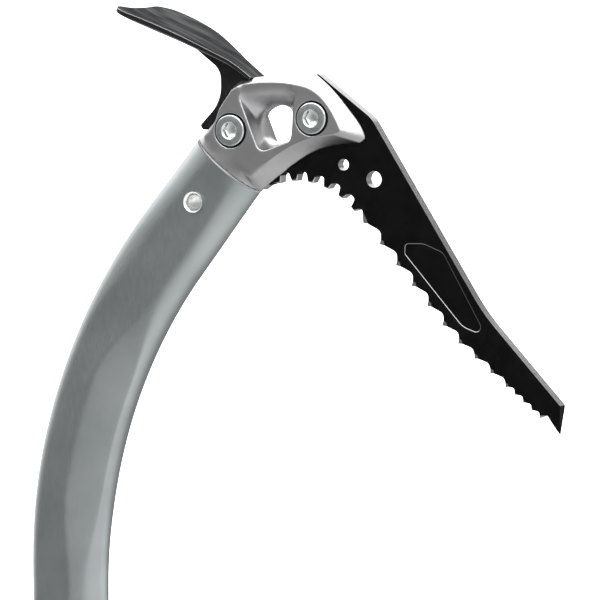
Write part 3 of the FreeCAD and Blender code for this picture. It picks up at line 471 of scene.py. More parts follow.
def neck_weight(place):
    """Weight of the blend between the cheeks and the oval neck, short of the seam and the bolt."""
    above = (place.x - SEAM.x) * math.sin(LEAN_NECK) + (place.z - SEAM.z) * math.cos(LEAN_NECK)
    run = smooth(above, 0.8, 3.0) * smooth(NECK_TOP - above, 0, 5.0)
    bolt = smooth(math.hypot(place.x - ADZE_BOLT.x, place.z - ADZE_BOLT.z), 8.2, 10.0)
    slots = smooth(abs(place.y), 3.6, 5.0)
    return run * bolt * slots


# Outlines ---------------------------------------------------------------------

# Largest turn between two points of a rounding.
ARC_STEP = math.radians(12)
CIRCLE_POINTS = 48


def arc_points(before, corner, after, radius, step):
    """Points along the rounding of a corner."""
    back = (before - corner).normalized()
    ahead = (after - corner).normalized()
    half = back.angle(ahead) / 2
    reach = radius / math.tan(half)
    centre = corner + (back + ahead).normalized() * (radius / math.sin(half))
    start = corner + back * reach - centre
    end = corner + ahead * reach - centre
    sweep = start.angle_signed(end)
    count = max(2, int(abs(sweep) * radius / step) + 1, int(abs(sweep) / ARC_STEP) + 1)
    points = []
    for index in range(count + 1):
        turn = Matrix.Rotation(-sweep * index / count, 2)
        points.append(centre + turn @ start)
    return points


def rounded(corners, step=0.6):
    """Points and marks of a closed outline through (x, z, radius, mark) corners."""
    points = []
    for index, (x, z, radius, mark) in enumerate(corners):
        corner = Vector((x, z))
        if radius <= 0:
            points.append((corner, mark))
            continue
        before = Vector(corners[index - 1][:2])
        after = Vector(corners[(index + 1) % len(corners)][:2])
        for point in arc_points(before, corner, after, radius, step):
            points.append((point, mark))
    return points


def inward(points):
    """Unit directions into a closed outline at each of its points, lengthened at corners."""
    count = len(points)
    area = sum(points[i - 1].x * points[i].y - points[i].x * points[i - 1].y for i in range(count))
    sign = 1 if area > 0 else -1
    result = []
    for index in range(count):
        one = (points[index] - points[index - 1]).normalized()
        two = (points[(index + 1) % count] - points[index]).normalized()
        normal_one = Vector((-one.y, one.x)) * sign
        normal_two = Vector((-two.y, two.x)) * sign
        both = normal_one + normal_two
        if both.length < 0.2:
            result.append(normal_one)
            continue
        both.normalize()
        result.append(both / max(both.dot(normal_one), 0.5))
    return result


def at(point, y):
    """A point of an outline, from the pick bolt, as a place in the frame."""
    return BOLT + Vector((point.x, y, point.y)) * MM


def ring_of(work, points, y):
    """Loop of vertices through the points of an outline, in a plane across Y."""
    return [work.verts.new(at(point, y)) for point in points]


def wall(work, first, second, index=0):
    """Quads between two loops of vertices, in one material. Returns them in order."""
    count = len(first)
    faces = []
    for i in range(count):
        j = (i + 1) % count
        face = work.faces.new((first[i], first[j], second[j], second[i]))
        face.material_index = index
        faces.append(face)
    return faces


def cap(work, loops):
    """Flat face within the first loop of vertices and outside the others."""
    places = [[vertex.co for vertex in loop] for loop in loops]
    flat = [vertex for loop in loops for vertex in loop]
    for triple in tessellate_polygon(places):
        corners = [flat[i] for i in triple]
        if len(set(corners)) == 3 and not work.faces.get(corners):
            work.faces.new(corners)


def circle_points(x, z, radius):
    """Points of a circle."""
    turns = [2 * math.pi * i / CIRCLE_POINTS for i in range(CIRCLE_POINTS)]
    return [Vector((x + radius * math.cos(t), z + radius * math.sin(t))) for t in turns]


# Pick -------------------------------------------------------------------------

PLATE_HALF = 3.0
# Each corner of the pick's outline has a mark: how wide its edge is chamfered, in mm. The marks
# of the back and of the crenellations also tell which parts of the outline are bare steel.
EDGE_BREAK = 0.14
BACK_BREAK = 0.15
CRENEL_CHAMFER = 0.6
TOOTH_CHAMFER = 1.4
# Depth of the ground chamfers, and how far those of the teeth reach out, as a share of their width.
CHAMFER_DEEP = 0.7
TOOTH_REACH = 0.55
# Crenellations lie on an arc, as in the CAD: angles in degrees, lengths along its radius.
CRENEL_CENTRE = (-10.5, -60.8)
CRENEL_RADIUS = 34.2
CRENEL_FIRST = -14.7
CRENEL_STEP = 12.45
CRENEL_COUNT = 6
CRENEL_LAND = 2.2
CRENEL_FOOT = 3.4
CRENEL_DEPTH = 4.0
CRENEL_ROUND = 1.3
CREST_ROUND = 0.4
# Saw teeth run along straight lines, as in the CAD: angle from vertical, place of the notch as
# shares of the way to the next tip (across, down), and the pitches.
FIRST_TOOTH = (20.2, -42.8)
TOOTH_LINES = (
    (40.8, (1.0, 0.42), (11.6, 11.2, 10.9, 10.6, 10.4)),
    (44.5, (0.95, 0.4), (10.0,)),
    (50.6, (0.85, 0.36), (9.2, 9.1, 8.6)),
    (50.6, (0.92, 0.17), (4.9, 4.8, 4.7, 4.6)),
)
# Shares of a tooth's pitch: the ground facet beside its tip, its chamfer and its notch's radius.
FACET_SHARE = 0.16
CHAMFER_SHARE = 0.14
NOTCH_SHARE = 0.24


def crenellations():
    """Corners of the rounded waves under the head, chamfered on their crests."""
    corners = []
    for tooth in range(CRENEL_COUNT):
        centre = CRENEL_FIRST + CRENEL_STEP * tooth
        for angle, depth, radius, mark in (
            (centre - CRENEL_FOOT, CRENEL_DEPTH, CRENEL_ROUND, EDGE_BREAK),
            (centre - CRENEL_LAND, 0.0, CREST_ROUND, CRENEL_CHAMFER),
            (centre + CRENEL_LAND, 0.0, CREST_ROUND, CRENEL_CHAMFER),
            (centre + CRENEL_FOOT, CRENEL_DEPTH, CRENEL_ROUND, EDGE_BREAK),
        ):
            turn = math.radians(angle)
            reach = CRENEL_RADIUS + depth
            x = CRENEL_CENTRE[0] + reach * math.sin(turn)
            z = CRENEL_CENTRE[1] + reach * math.cos(turn)
            corners.append((x, z, radius, mark))
    return corners[1:]


def saw_teeth():
    """Corners of the hooked teeth, with a ground facet at each tip."""
    x, z = FIRST_TOOTH
    corners = [(x, z, 0, TOOTH_CHAMFER)]
    for lean, (across, down), pitches in TOOTH_LINES:
        along = Vector((math.sin(math.radians(lean)), -math.cos(math.radians(lean))))
        for pitch in pitches:
            step = along * pitch
            notch = Vector((x + across * step.x, z + down * step.y))
            tip = Vector((x, z))
            facet = FACET_SHARE * pitch
            land = tip + (notch - tip).normalized() * facet
            corners.append((land.x, land.y, 0, EDGE_BREAK))
            corners.append((notch.x, notch.y, NOTCH_SHARE * pitch, EDGE_BREAK))
            x += step.x
            z += step.y
            tip = Vector((x, z))
            throat = tip + (notch - tip).normalized() * facet
            corners.append((throat.x, throat.y, 0, EDGE_BREAK))
            corners.append((x, z, 0, min(TOOTH_CHAMFER, CHAMFER_SHARE * pitch)))
    return corners


def pick_corners():
    """Corners of the whole pick outline."""
    back = [
        (-24.2, -27.0, 0.8, EDGE_BREAK),
        (-19.2, -17.9, 2.0, EDGE_BREAK),
        (-9.2, -12.8, 2.0, EDGE_BREAK),
        (-9.2, 15.5, 1.5, EDGE_BREAK),
        (-0.8, 18.2, 1.0, BACK_BREAK),
        (23.4, 0.1, 14.0, BACK_BREAK),
        (73.5, -79.0, 90.0, BACK_BREAK),
        (107.3, -115.4, 0, BACK_BREAK),
        (106.4, -127.4, 0, EDGE_BREAK),
        (105.2, -125.6, 1.0, EDGE_BREAK),
        (101.8, -119.4, 0.8, EDGE_BREAK),
    ]
    under = crenellations() + saw_teeth()
    tail = [(-21.0, -27.0, 0, EDGE_BREAK), (-22.9, -28.8, 0.5, EDGE_BREAK)]
    return back + under[::-1] + tail


# Sunk panel in each side of the pick, and the widths and depths of its rim.
POCKET = [
    (38.8, -51.4, 1.5, 0),
    (47.0, -51.2, 8.0, 0),
    (55.6, -54.6, 5.0, 0),
    (74.8, -88.2, 2.0, 0),
    (64.5, -84.6, 9.0, 0),
    (38.8, -55.6, 1.5, 0),
]
POCKET_DEEP = 0.45
POCKET_LIP = 0.2
POCKET_BREAK = 0.12
POCKET_SLOPE = 0.3
# Holes of the pick: x, z and radius, and how far their rims are broken.
HOLES = ((0, 0, 4.15), (24.6, -25.1, 3.4), (10.8, -19.3, 2.4))
HOLE_BREAK = 0.25
# Chisel point: where its bevel meets each side, the edge that it leaves and where the point begins.
POINT_TOP = Vector((107.3, -116.2))
POINT_UNDER = Vector((101.5, -121.0))
POINT_LOW = Vector((106.4, -127.4))
POINT_HALF = 0.25
POINT_START = Vector((96.0, 0))
# Indices of the pick's two materials.
BLACK, BARE = 0, 1


def is_ground(mark):
    """Whether the chamfer at a corner is a ground facet and not just a broken edge."""
    return mark >= CRENEL_CHAMFER


def pick_side(work, outer, side):
    """One face of the pick: chamfers, flat, hole rims and the sunk panel. Returns its edge loops."""
    points = [point for point, mark in outer]
    marks = [mark for point, mark in outer]
    into = inward(points)
    face_points = [point + step * mark for point, step, mark in zip(points, into, marks)]
    deep = [CHAMFER_DEEP if is_ground(mark) else EDGE_BREAK for mark in marks]
    reach = [TOOTH_REACH * mark if mark > CRENEL_CHAMFER else 0 for mark in marks]
    edge = [point - step * out for point, step, out in zip(points, into, reach)]
    rim = [work.verts.new(at(p, side * (PLATE_HALF - d))) for p, d in zip(edge, deep)]
    flat = ring_of(work, face_points, side * PLATE_HALF)
    for face, mark, following in zip(wall(work, rim, flat), marks, marks[1:] + marks[:1]):
        face.material_index = BARE if is_ground(mark) or is_ground(following) else BLACK
    loops = [flat]
    ends = [rim]
    for x, z, radius in HOLES:
        wide = ring_of(work, circle_points(x, z, radius + HOLE_BREAK), side * PLATE_HALF)
        bore = ring_of(work, circle_points(x, z, radius), side * (PLATE_HALF - HOLE_BREAK))
        wall(work, wide, bore)
        loops.append(wide)
        ends.append(bore)
    panel = [point for point, mark in rounded(POCKET, 0.5)]
    step_in = inward(panel)
    brim = [p - step * POCKET_LIP for p, step in zip(panel, step_in)]
    lip = ring_of(work, brim, side * PLATE_HALF)
    mouth = ring_of(work, panel, side * (PLATE_HALF - POCKET_BREAK))
    sunk = [p + step * POCKET_SLOPE for p, step in zip(panel, step_in)]
    floor = ring_of(work, sunk, side * (PLATE_HALF - POCKET_DEEP))
    wall(work, lip, mouth, BARE)
    wall(work, mouth, floor)
    cap(work, [floor])
    cap(work, loops + [lip])
    return ends


def chisel_tip(work):
    """Bevel the pick's point from both sides."""
    for side in (-1, 1):
        top = at(POINT_TOP, side * PLATE_HALF)
        low = at(POINT_LOW, side * POINT_HALF)
        under = at(POINT_UNDER, side * PLATE_HALF)
        normal = (low - top).cross(under - top).normalized()
        if normal.y * side < 0:
            normal.negate()
        near = [v for v in work.verts if v.co.x > at(POINT_START, 0).x]
        faces = {f for v in near for f in v.link_faces}
        edges = {e for f in faces for e in f.edges}
        geometry = list({v for f in faces for v in f.verts}) + list(edges) + list(faces)
        cut = bmesh.ops.bisect_plane(work, geom=geometry, plane_co=top, plane_no=normal, clear_outer=True)
        rim = [item for item in cut["geom_cut"] if isinstance(item, bmesh.types.BMEdge)]
        bmesh.ops.holes_fill(work, edges=rim, sides=0)


def make_pick():
    """Pick plate with a ground back, ground facets on the teeth, holes and a sunk panel each side."""
    work = bmesh.new()
    outer = rounded(pick_corners())
    near = pick_side(work, outer, -1)
    far = pick_side(work, outer, 1)
    marks = [mark for point, mark in outer]
    for face, mark, following in zip(wall(work, near[0], far[0]), marks, marks[1:] + marks[:1]):
        bare = mark == following == BACK_BREAK or CRENEL_CHAMFER in (mark, following)
        face.material_index = BARE if bare else BLACK
    for one, two in zip(near[1:], far[1:]):
        wall(work, one, two, BARE)
    chisel_tip(work)
    adopt(new_piece("pick_plate", work), "pick", PAINTS["black_steel"], GROUND)


# Adze -------------------------------------------------------------------------

# Stations of the blade, near the CAD's: x, z of its long edges, half width, thickness, trough.
BLADE = [
    (-86.6, 46.35, 24.4, 2.5, 0.8),
    (-80.0, 43.95, 25.5, 3.1, 1.7),
    (-70.0, 40.15, 24.1, 3.3, 2.1),
    (-58.0, 34.65, 20.2, 3.1, 1.7),
    (-46.0, 27.75, 13.3, 2.7, 0.9),
    (-38.0, 22.75, 8.5, 2.5, 0.3),
    (-29.8, 16.65, 7.4, 1.9, 0.1),
]
BLADE_ALONG = 72
BLADE_ACROSS = 36
# Power that crowds the rows towards the cutting edge, and the length of blade to 1 mm of x there.
BLADE_SPREAD = 1.25
BLADE_SLANT = 1.1
CORNER_ROUND = 8.0
# How steeply the trough's sides rise, and the share of the thickness left at the long edges.
TROUGH_POWER = 1.3
EDGE_SHARE = 0.62
# Ground chamfer round the blade's edges, the least angle it takes, and the rounding of the web.
BLADE_CHAMFER = 0.38
BLADE_CHAMFER_ANGLE = 40.0
WEB_ROUND = 0.4


def spline(rows, place):
    """Catmull-Rom value of a list of rows at a place from 0 to its last index."""
    index = min(int(place), len(rows) - 2)
    share = place - index
    ends = [rows[min(max(index + k, 0), len(rows) - 1)] for k in (-1, 0, 1, 2)]
    result = []
    for a, b, c, d in zip(*ends):
        square = 2 * a - 5 * b + 4 * c - d
        cube = 3 * (b - c) + d - a
        result.append(b + 0.5 * share * (c - a + share * (square + share * cube)))
    return result


def blade_row(place, end_run):
    """Places across the blade at one station: its top and its underside."""
    x, z, half, thick, dish = spline(BLADE, place)
    ahead = spline(BLADE, min(place + 0.02, len(BLADE) - 1))
    behind = spline(BLADE, max(place - 0.02, 0))
    along = Vector((ahead[0] - behind[0], ahead[1] - behind[1])).normalized()
    up = Vector((-along.y, along.x))
    if end_run < CORNER_ROUND:
        short = CORNER_ROUND - end_run
        half -= CORNER_ROUND - math.sqrt(max(CORNER_ROUND ** 2 - short ** 2, 0))
    top = []
    low = []
    for index in range(BLADE_ACROSS + 1):
        share = -1 + 2 * index / BLADE_ACROSS
        hollow = dish * (1 - share * share) ** TROUGH_POWER
        crown = up * -hollow
        body = up * (-hollow - thick * (EDGE_SHARE + (1 - EDGE_SHARE) * (1 - share ** 4)))
        y = share * half
        top.append((x + crown.x, y, z + crown.y))
        low.append((x + body.x, y, z + body.y))
    return top, low


def rim_of(grid):
    """Vertices round the edge of a grid, in order."""
    near = [row[0] for row in grid]
    far = [row[-1] for row in grid[::-1]]
    return near + grid[-1][1:-1] + far + grid[0][-2:0:-1]


def blade_grid(work):
    """Blade as a closed shell: its top, its underside and the wall between them."""
    rows = []
    last = len(BLADE) - 1
    for index in range(BLADE_ALONG + 1):
        place = last * (index / BLADE_ALONG) ** BLADE_SPREAD
        run = abs(spline(BLADE, place)[0] - BLADE[0][0]) * BLADE_SLANT
        rows.append(blade_row(place, run))
    tops = [[work.verts.new(BOLT + Vector(p) * MM) for p in top] for top, low in rows]
    lows = [[work.verts.new(BOLT + Vector(p) * MM) for p in low] for top, low in rows]
    for grid, index in ((tops, 0), (lows, 1)):
        for one, two in zip(grid, grid[1:]):
            for k in range(BLADE_ACROSS):
                face = work.faces.new((one[k], one[k + 1], two[k + 1], two[k]))
                face.material_index = index
    wall(work, rim_of(tops), rim_of(lows), 1)


# Outline of the web: x, z, radius of the corner and no chamfer.
ADZE_WEB = [
    (-60.0, 31.2, 0, 0),
    (-57.0, 27.7, 0, 0),
    (-46.2, 19.5, 8.0, 0),
    (-45.8, 6.5, 16.0, 0),
    (-55.7, -3.9, 0.8, 0),
    (-54.5, -5.8, 0.8, 0),
    (-49.5, -5.8, 3.0, 0),
    (-36.0, -14.2, 3.0, 0),
    (-29.2, -10.7, 3.0, 0),
    (-29.2, 14.8, 0, 0),
    (-40.0, 21.5, 0, 0),
]


def make_adze_blade():
    """Dished blade of the adze, its corners rounded and its edges ground."""
    work = bmesh.new()
    blade_grid(work)
    blade = new_piece("adze_blade", work)
    coat(blade, PAINTS["adze_steel"], WEB_BLACK, GROUND)
    bevel = blade.modifiers.new("edges", "BEVEL")
    bevel.width = BLADE_CHAMFER * MM
    bevel.segments = 3
    bevel.limit_method = "ANGLE"
    bevel.angle_limit = math.radians(BLADE_CHAMFER_ANGLE)
    bevel.material = 2
    adopt(bake(blade), "adze")


def make_adze_web():
    """Web under the adze's blade, which runs down the head's back."""
    work = bmesh.new()
    points = [point for point, mark in rounded(ADZE_WEB)]
    inner = [point + step * WEB_ROUND for point, step in zip(points, inward(points))]
    straight = PLATE_HALF - WEB_ROUND
    loops = [
        ring_of(work, inner, -PLATE_HALF),
        ring_of(work, points, -straight),
        ring_of(work, points, straight),
        ring_of(work, inner, PLATE_HALF),
    ]
    for one, two in zip(loops, loops[1:]):
        wall(work, one, two)
    cap(work, [loops[0]])
    cap(work, [loops[-1]])
    adopt(new_piece("adze_web", work), "adze", WEB_BLACK)


# Turned fasteners ---------------------------------------------------------------

TURNED_STEPS = 72
# Points of a turned piece closer than this, in mm, are one.
TURNED_WELD = 0.001


def turned_radius(turn, radius, flats):
    """Radius of a round or, where flats is set, of a hexagon with corners on the X axis."""
    if not flats:
        return radius
    past_corner = turn % math.radians(60)
    return flats / 2 / math.cos(past_corner - math.radians(30))


def turned(name, node, rows, *paints):
    """Piece turned about Y on a node's middle, from rows of (y, radius, flats, material)."""
    work = bmesh.new()
    centre = axis_of(node)
    loops = []
    for y, radius, flats, index in rows:
        loop = []
        for step in range(TURNED_STEPS):
            turn = 2 * math.pi * step / TURNED_STEPS
            reach = turned_radius(turn, radius, flats)
            place = Vector((reach * math.cos(turn), y, reach * math.sin(turn)))
            loop.append(work.verts.new(centre + place * MM))
        loops.append(loop)
    for one, two, row in zip(loops, loops[1:], rows[1:]):
        wall(work, one, two, row[3])
    bmesh.ops.remove_doubles(work, verts=work.verts, dist=TURNED_WELD * MM)
    adopt(new_piece(name, work), node, *paints)


def make_bolt(node):
    """Low socket-head screw: plated face, with a lighter copy of the plating on its turned rim and in its
    hexagon socket as painted highlight and painted light.
    """
    rows = [
        (10.7, 0.0, 0, 0),
        (10.7, 3.4, 0, 0),
        (10.1, 4.0, 0, 0),
        (-6.4, 4.0, 0, 0),
        (-6.4, 6.4, 0, 0),
        (-6.6, 6.6, 0, 0),
        (-11.3, 6.6, 0, 0),
        (-11.6, 6.5, 0, 1),
        (-11.8, 6.3, 0, 1),
        (-11.88, 6.05, 0, 1),
        (-11.88, 3.75, 0, 0),
        (-11.8, 3.65, 0, 1),
        (-11.45, 0.0, 6.0, 1),
        (-9.1, 0.0, 5.96, 1),
        (-8.9, 0.0, 5.5, 1),
        (-8.2, 0.0, 0, 1),
    ]
    turned(node + "_turned", node, rows, PAINTS["bolt"], GLINT_ZINC)


def make_head_rivet():
    """Tubular rivet, its two ends rolled outwards into a flared rim, near-white inside and on its rolls as
    painted light.
    """
    near = [
        (-10.2, 3.8, 0, 0),
        (-10.4, 4.4, 0, 0),
        (-11.3, 4.5, 0, 0),
        (-11.6, 4.4, 0, 0),
        (-11.65, 4.25, 0, 1),
        (-11.5, 4.1, 0, 1),
        (-10.7, 3.45, 0, 1),
        (-10.2, 3.25, 0, 1),
        (-9.2, 3.2, 0, 1),
    ]
    far = [(-y, radius, flats, index) for y, radius, flats, index in near[::-1]]
    turned("head_rivet_rolled", "head_rivet", near + far + near[:1], PAINTS["rivet"], RIVET_LIT_PLATING)


# Shaft --------------------------------------------------------------------------

# The tube as in the CAD: its section, and its run through the kick and the bend to the seam.
SHAFT_HALF_WIDE = 17.75
SHAFT_HALF_THICK = 11.5
TUBE_WALL = 1.6
TUBE_LOW = 20.0
KICK = math.radians(10.0)
KICK_RADIUS = 160.0
KICK_TOP = 140.0
BEND_START = 252.0
BEND_RADIUS = 237.0
NECK_STRAIGHT = 43.2
SKIN_STEP = 0.9
SKIN_TURNS = 144
# The wall's inner face needs fewer rings than its outer one.
INNER_EVERY = 8
# Heights between which the pressed panels begin, turn into the bend's and turn into the neck's,
# and distances from the seam between which they end.
PANELS_BEGIN = (95, 130)
BEND_PANELS = (250, 295)
NECK_PANELS = (342, 388)
PANELS_END = (-6, 14)
# Where the tube turns squarer, where it is an oval again, and by how much it does.
SQUARE_BEGINS = (245, 300)
SQUARE_ENDS = (0, 45)
SQUARE_GROWTH = 0.35
# Hole for the head rivet.
DRILL_RADIUS = 3.82
DRILL_LONG = 60.0


def shaft_stations():
    """Centre and lean of the tube at even steps from its lower end to the seam."""
    kick_low = KICK_TOP - KICK_RADIUS * math.sin(KICK)
    straights = (kick_low / math.cos(KICK) - TUBE_LOW, BEND_START - KICK_TOP, NECK_STRAIGHT)
    bends = (KICK_RADIUS * KICK, BEND_RADIUS * LEAN_NECK)
    total = sum(straights) + sum(bends)
    place = HANDLE_UP * TUBE_LOW
    lean = LEAN_HANDLE
    count = int(total / SKIN_STEP)
    step = total / count
    stations = [(place.copy(), lean)]
    for index in range(count):
        run = step * (index + 0.5)
        if run < straights[0]:
            turn = 0.0
        elif run < straights[0] + bends[0]:
            turn = step / KICK_RADIUS
        elif run < straights[0] + bends[0] + straights[1]:
            turn = 0.0
        elif run < total - straights[2]:
            turn = step / BEND_RADIUS
        else:
            turn = 0.0
        middle_lean = lean + turn / 2
        place += Vector((math.sin(middle_lean), 0, math.cos(middle_lean))) * step
        lean += turn
        stations.append((place.copy(), lean))
    return stations


def soft_least(one, two, round_off=0.3):
    """Lower of two heights with the corner between them rounded off."""
    return (one + two - math.sqrt((one - two) ** 2 + round_off ** 2)) / 2


def tube_section(height, short_of_seam, grow=0.0):
    """Offsets across and through the tube: an oval pressed into two panels that meet at a crease."""
    low = 1 - smooth(height, *BEND_PANELS)
    high = smooth(height, *NECK_PANELS)
    # Where across the tube the crease lies, how high it is, and how the rear panel rises to it.
    crease = 4.5 * low + 11.0 * high
    ridge = 11.3 - 0.4 * low - 1.5 * high
    slope = 0.16 - 0.22 * high
    pressed = smooth(short_of_seam, *PANELS_END) * smooth(height, *PANELS_BEGIN)
    growth = SQUARE_GROWTH * smooth(height, *SQUARE_BEGINS) * smooth(short_of_seam, *SQUARE_ENDS)
    square = 2 + growth
    half_wide = SHAFT_HALF_WIDE + growth
    scale_wide = 1 + grow / SHAFT_HALF_WIDE
    scale_thick = 1 + grow / SHAFT_HALF_THICK
    points = []
    for index in range(SKIN_TURNS):
        turn = 2 * math.pi * index / SKIN_TURNS
        side = math.copysign(1, math.sin(turn))
        across = math.copysign(abs(math.cos(turn)) ** (2 / square), math.cos(turn)) * half_wide
        through = abs(math.sin(turn)) ** (2 / square) * SHAFT_HALF_THICK
        past = across - crease
        rear = ridge + slope * past
        front = ridge - 0.27 * past - 0.003 * past * past if past > 0 else ridge - 0.5 * past
        cut = soft_least(through, soft_least(rear, front))
        through += (max(cut, 0) - through) * pressed
        points.append((across * scale_wide, side * through * scale_thick))
    return points


def drilled(piece, node):
    """Piece with the rivet's hole bored through it on a node's middle, along Y."""
    rod = bmesh.new()
    bmesh.ops.create_cone(
        rod, cap_ends=True, segments=CIRCLE_POINTS, depth=DRILL_LONG * MM,
        radius1=DRILL_RADIUS * MM, radius2=DRILL_RADIUS * MM,
        matrix=Matrix.Translation(middle(node)) @ Matrix.Rotation(math.radians(90), 4, "X"),
    )
    drill = bpy.data.meshes.new("rivet_drill")
    rod.to_mesh(drill)
    rod.free()
    cutter = bpy.data.objects.new("rivet_drill", drill)
    bpy.context.scene.collection.objects.link(cutter)
    hole = piece.modifiers.new("hole", "BOOLEAN")
    hole.operation = "DIFFERENCE"
    hole.object = cutter
    bake(piece)
    bpy.data.objects.remove(cutter)
    return piece


def make_shaft():
    """Shaft tube: a swept skin with its pressed panels, wall and drilled rivet hole."""
    work = bmesh.new()
    stations = shaft_stations()
    outer = []
    inner = []
    for index, (place, lean) in enumerate(stations):
        wide = Vector((math.cos(lean), 0, -math.sin(lean)))
        short = (len(stations) - 1 - index) * SKIN_STEP
        for loops, grow in ((outer, 0.0), (inner, -TUBE_WALL)):
            if grow and index % INNER_EVERY and short:
                continue
            loop = []
            for across, through in tube_section(place.z, short, grow):
                loop.append(work.verts.new((place + wide * across + Vector((0, through, 0))) * MM))
            loops.append(loop)
    chain = outer + inner[::-1] + outer[:1]
    for one, two in zip(chain, chain[1:]):
        wall(work, one, two)
    adopt(drilled(new_piece("shaft_skin", work), "head_rivet"), "shaft_tube")


# Handle -----------------------------------------------------------------------

# Sleeve over the tube, in mm along the handle and out from the tube.
GRIP_LOW = 46.0
GRIP_HIGH = 110.0
GRIP_SWELL = 2.5
GRIP_GAP = 0.07
GRIP_ROWS = 190
GRIP_TURNS = 168
# Waved grooves: where they begin and end, their pitch, height of the wave, depth and run-out.
GROOVES_LOW = GRIP_LOW + 9
GROOVES_HIGH = GRIP_HIGH - 8
GROOVE_PITCH = 6.5
GROOVE_WAVE = 5.5
GROOVE_DEEP = 0.85
GROOVE_FADE = 2.5
# Each lip: how far it stands out, how wide it is and over what length it falls off.
LOW_LIP = (4.1, 4.5, 3.0)
HIGH_LIP = (3.7, 3.8, 2.5)
# Rounding of the sleeve's two ends: its length and its drop.
END_ROUND = 1.2
END_DROP = 1.1


def lip_swell(from_end, lip):
    """How far a lip stands out at a distance from its end of the sleeve."""
    reach, wide, fall = lip
    return reach * (1 - min(max((from_end - wide) / fall, 0), 1))


def grip_swell(turn, height):
    """How far the sleeve stands out from the tube, in mm, at an angle and a height along it."""
    wave = math.sin((height + GROOVE_WAVE * math.cos(2 * turn)) * 2 * math.pi / GROOVE_PITCH)
    groove = min(max((wave - 0.35) / 0.3, 0), 1)
    fade = max(0.0, min(1.0, (height - GROOVES_LOW) / GROOVE_FADE, (GROOVES_HIGH - height) / GROOVE_FADE))
    swell = GRIP_SWELL - GROOVE_DEEP * groove * fade
    outer = max(swell, lip_swell(height - GRIP_LOW, LOW_LIP), lip_swell(GRIP_HIGH - height, HIGH_LIP))
    ends = min(1.0, (height - GRIP_LOW) / END_ROUND, (GRIP_HIGH - height) / END_ROUND)
    return outer - END_DROP * (1 - math.sqrt(max(0.0, 1 - (1 - ends) ** 2)))


def grip_ring(work, height, swells):
    """Loop of vertices round the handle at a height, each its own swell out from the tube."""
    turn_handle = Matrix.Rotation(LEAN_HANDLE, 3, "Y")
    loop = []
    for step, swell in enumerate(swells):
        turn = 2 * math.pi * step / GRIP_TURNS
        x = (SHAFT_HALF_WIDE + swell) * math.cos(turn)
        y = (SHAFT_HALF_THICK + swell) * math.sin(turn)
        loop.append(work.verts.new(turn_handle @ Vector((x, y, height)) * MM))
    return loop


def make_grip():
    """Rubber sleeve with a lip at each end and waved grooves between them."""
    work = bmesh.new()
    loops = []
    turns = [2 * math.pi * step / GRIP_TURNS for step in range(GRIP_TURNS)]
    for row in range(GRIP_ROWS + 1):
        height = GRIP_LOW + (GRIP_HIGH - GRIP_LOW) * row / GRIP_ROWS
        loops.append(grip_ring(work, height, [grip_swell(turn, height) for turn in turns]))
    for height in (GRIP_HIGH, GRIP_LOW):
        loops.append(grip_ring(work, height, [GRIP_GAP] * GRIP_TURNS))
    for one, two in zip(loops, loops[1:] + loops[:1]):
        wall(work, one, two)
    adopt(new_piece("grip_moulding", work), "grip_sleeve")


# Stage ------------------------------------------------------------------------

# Camera: what it looks at, its angles, its distance in m, and its lens in mm.
TARGET = Vector((88.4, 0, 377.3)) * MM
AZIMUTH = math.radians(25.0)
ELEVATION = math.radians(5.0)
DISTANCE = 1.4
LENS = 200
# Floor and wall, in m, and the gap in mm under the axe.
FLOOR_RADIUS = 300
WALL_HIGH = 120
FLOOR_GAP = 0.5


def make_camera():
    """Camera at the photograph's viewing angle."""
    back = Vector((
        math.sin(AZIMUTH) * math.cos(ELEVATION),
        -math.cos(AZIMUTH) * math.cos(ELEVATION),
        math.sin(ELEVATION),
    ))
    data = bpy.data.cameras.new("camera")
    data.lens = LENS
    data.sensor_width = 36
    data.clip_end = 1000
    camera = bpy.data.objects.new("camera", data)
    camera.location = TARGET + back * DISTANCE
    camera.rotation_euler = back.to_track_quat("Z", "Y").to_euler()
    bpy.context.scene.collection.objects.link(camera)
    bpy.context.scene.camera = camera


def make_floor():
    """Wide pale floor at the foot of the axe and a pale wall far round it."""
    paint = Paint("floor", (0.9, 0.9, 0.9), 0.0, 0.9, 0.0)
    cloud = paint.spread(paint.noise(60.0, 2.0), 0, 1)
    paint.colour(paint.mix(cloud, (0.89, 0.89, 0.89), (0.91, 0.91, 0.91)))
    work = bmesh.new()
    bmesh.ops.create_circle(work, cap_ends=True, segments=96, radius=FLOOR_RADIUS)
    rim = bmesh.ops.extrude_edge_only(work, edges=list(work.edges))
    top = [item for item in rim["geom"] if isinstance(item, bmesh.types.BMVert)]
    for vertex in top:
        vertex.co.z += WALL_HIGH
    mesh = bpy.data.meshes.new("floor")
    work.to_mesh(mesh)
    work.free()
    floor = bpy.data.objects.new("floor", mesh)
    floor.location.z = cad_box[0][2] - FLOOR_GAP * MM
    floor.visible_glossy = False
    floor.data.materials.append(paint.material)
    bpy.context.scene.collection.objects.link(floor)


# Studio: brightness all round, and what each softbox adds: its direction, the cosines from it
# where its glow starts and is full, and its strength.
ROOM_LEVEL = 0.38
SOFTBOXES = (
    ((0, 0, 1), 0.36, 0.48, 2.7),
    ((0.94, -0.34, 0), 0.0, 1.0, 0.9),
    ((0.80, 0.60, 0), 0.80, 1.0, 0.6),
    ((-0.72, 0.62, 0.31), 0.76, 0.88, 1.3),
    ((-1, 0, 0), 0.8, 1.0, 0.2),
    ((0, 0, -1), 0.30, 0.95, 0.5),
)


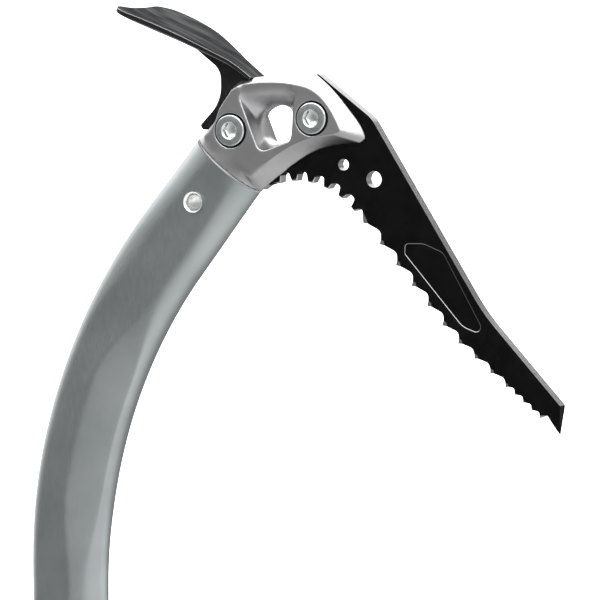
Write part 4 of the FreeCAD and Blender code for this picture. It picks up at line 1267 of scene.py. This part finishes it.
def make_world():
    """Soft studio: even light all round, and the glow of each softbox on top of it."""
    world = bpy.data.worlds.new("studio")
    world.use_nodes = True
    tree = world.node_tree
    place = tree.nodes.new("ShaderNodeTexCoord")
    total = None
    for direction, start, full, strength in SOFTBOXES:
        dot = tree.nodes.new("ShaderNodeVectorMath")
        dot.operation = "DOT_PRODUCT"
        tree.links.new(place.outputs["Generated"], dot.inputs[0])
        dot.inputs[1].default_value = direction
        glow = tree.nodes.new("ShaderNodeMapRange")
        glow.interpolation_type = "SMOOTHSTEP"
        glow.inputs["From Min"].default_value = start
        glow.inputs["From Max"].default_value = full
        glow.inputs["To Max"].default_value = strength
        tree.links.new(dot.outputs["Value"], glow.inputs["Value"])
        add = tree.nodes.new("ShaderNodeMath")
        add.operation = "ADD"
        tree.links.new(glow.outputs["Result"], add.inputs[0])
        add.inputs[1].default_value = ROOM_LEVEL
        if total:
            tree.links.new(total, add.inputs[1])
        total = add.outputs["Value"]
    tree.links.new(total, tree.nodes["Background"].inputs["Strength"])
    tree.nodes["Background"].inputs["Color"].default_value = (1, 1, 1, 1)
    bpy.context.scene.world = world
    bpy.context.scene.view_settings.view_transform = "Standard"


# Assembly ---------------------------------------------------------------------

def make_pieces():
    """Every detailed piece, then better finishes on the CAD nodes that stay."""
    casting = softened("head", "head_casting", 0.42, 4)
    relaxed(casting, 150, recess_weight)
    relaxed(casting, 60, neck_weight)
    make_pick()
    make_adze_blade()
    make_adze_web()
    make_grip()
    make_shaft()
    make_bolt("pick_bolt")
    make_bolt("adze_bolt")
    eased("hand_rest_screw", "hand_rest_screw_turned", 0.18)
    for node in ("pick_nut", "adze_nut", "hand_rest_nut"):
        eased(node, node + "_forged", 0.2)
    for node in ("hand_rest_pin", "trigger_lever_pin", "spike_rivets"):
        eased(node, node + "_turned", 0.2)
    make_head_rivet()
    eased("head_gasket", "head_gasket_ring", 0.2)
    softened("spike", "spike_forging", 0.4, 4)
    softened("hand_rest_bracket", "hand_rest_bracket_moulding", 0.45, 4)
    softened("hand_rest", "hand_rest_moulding", 0.45, 5)
    softened("hand_rest_pad", "hand_rest_pad_moulding", 0.25, 4)
    softened("trigger_collar", "trigger_collar_moulding", 0.45, 4)
    softened("trigger_lever", "trigger_lever_moulding", 0.25, 5)
    for node in ("shaft_plug", "spike_socket", "trigger_liner"):
        mesh = frame["nodes"][node].data
        for index in range(len(mesh.materials)):
            mesh.materials[index] = PAINTS[SLOTS[node]]


make_camera()
make_floor()
make_world()
make_pieces()
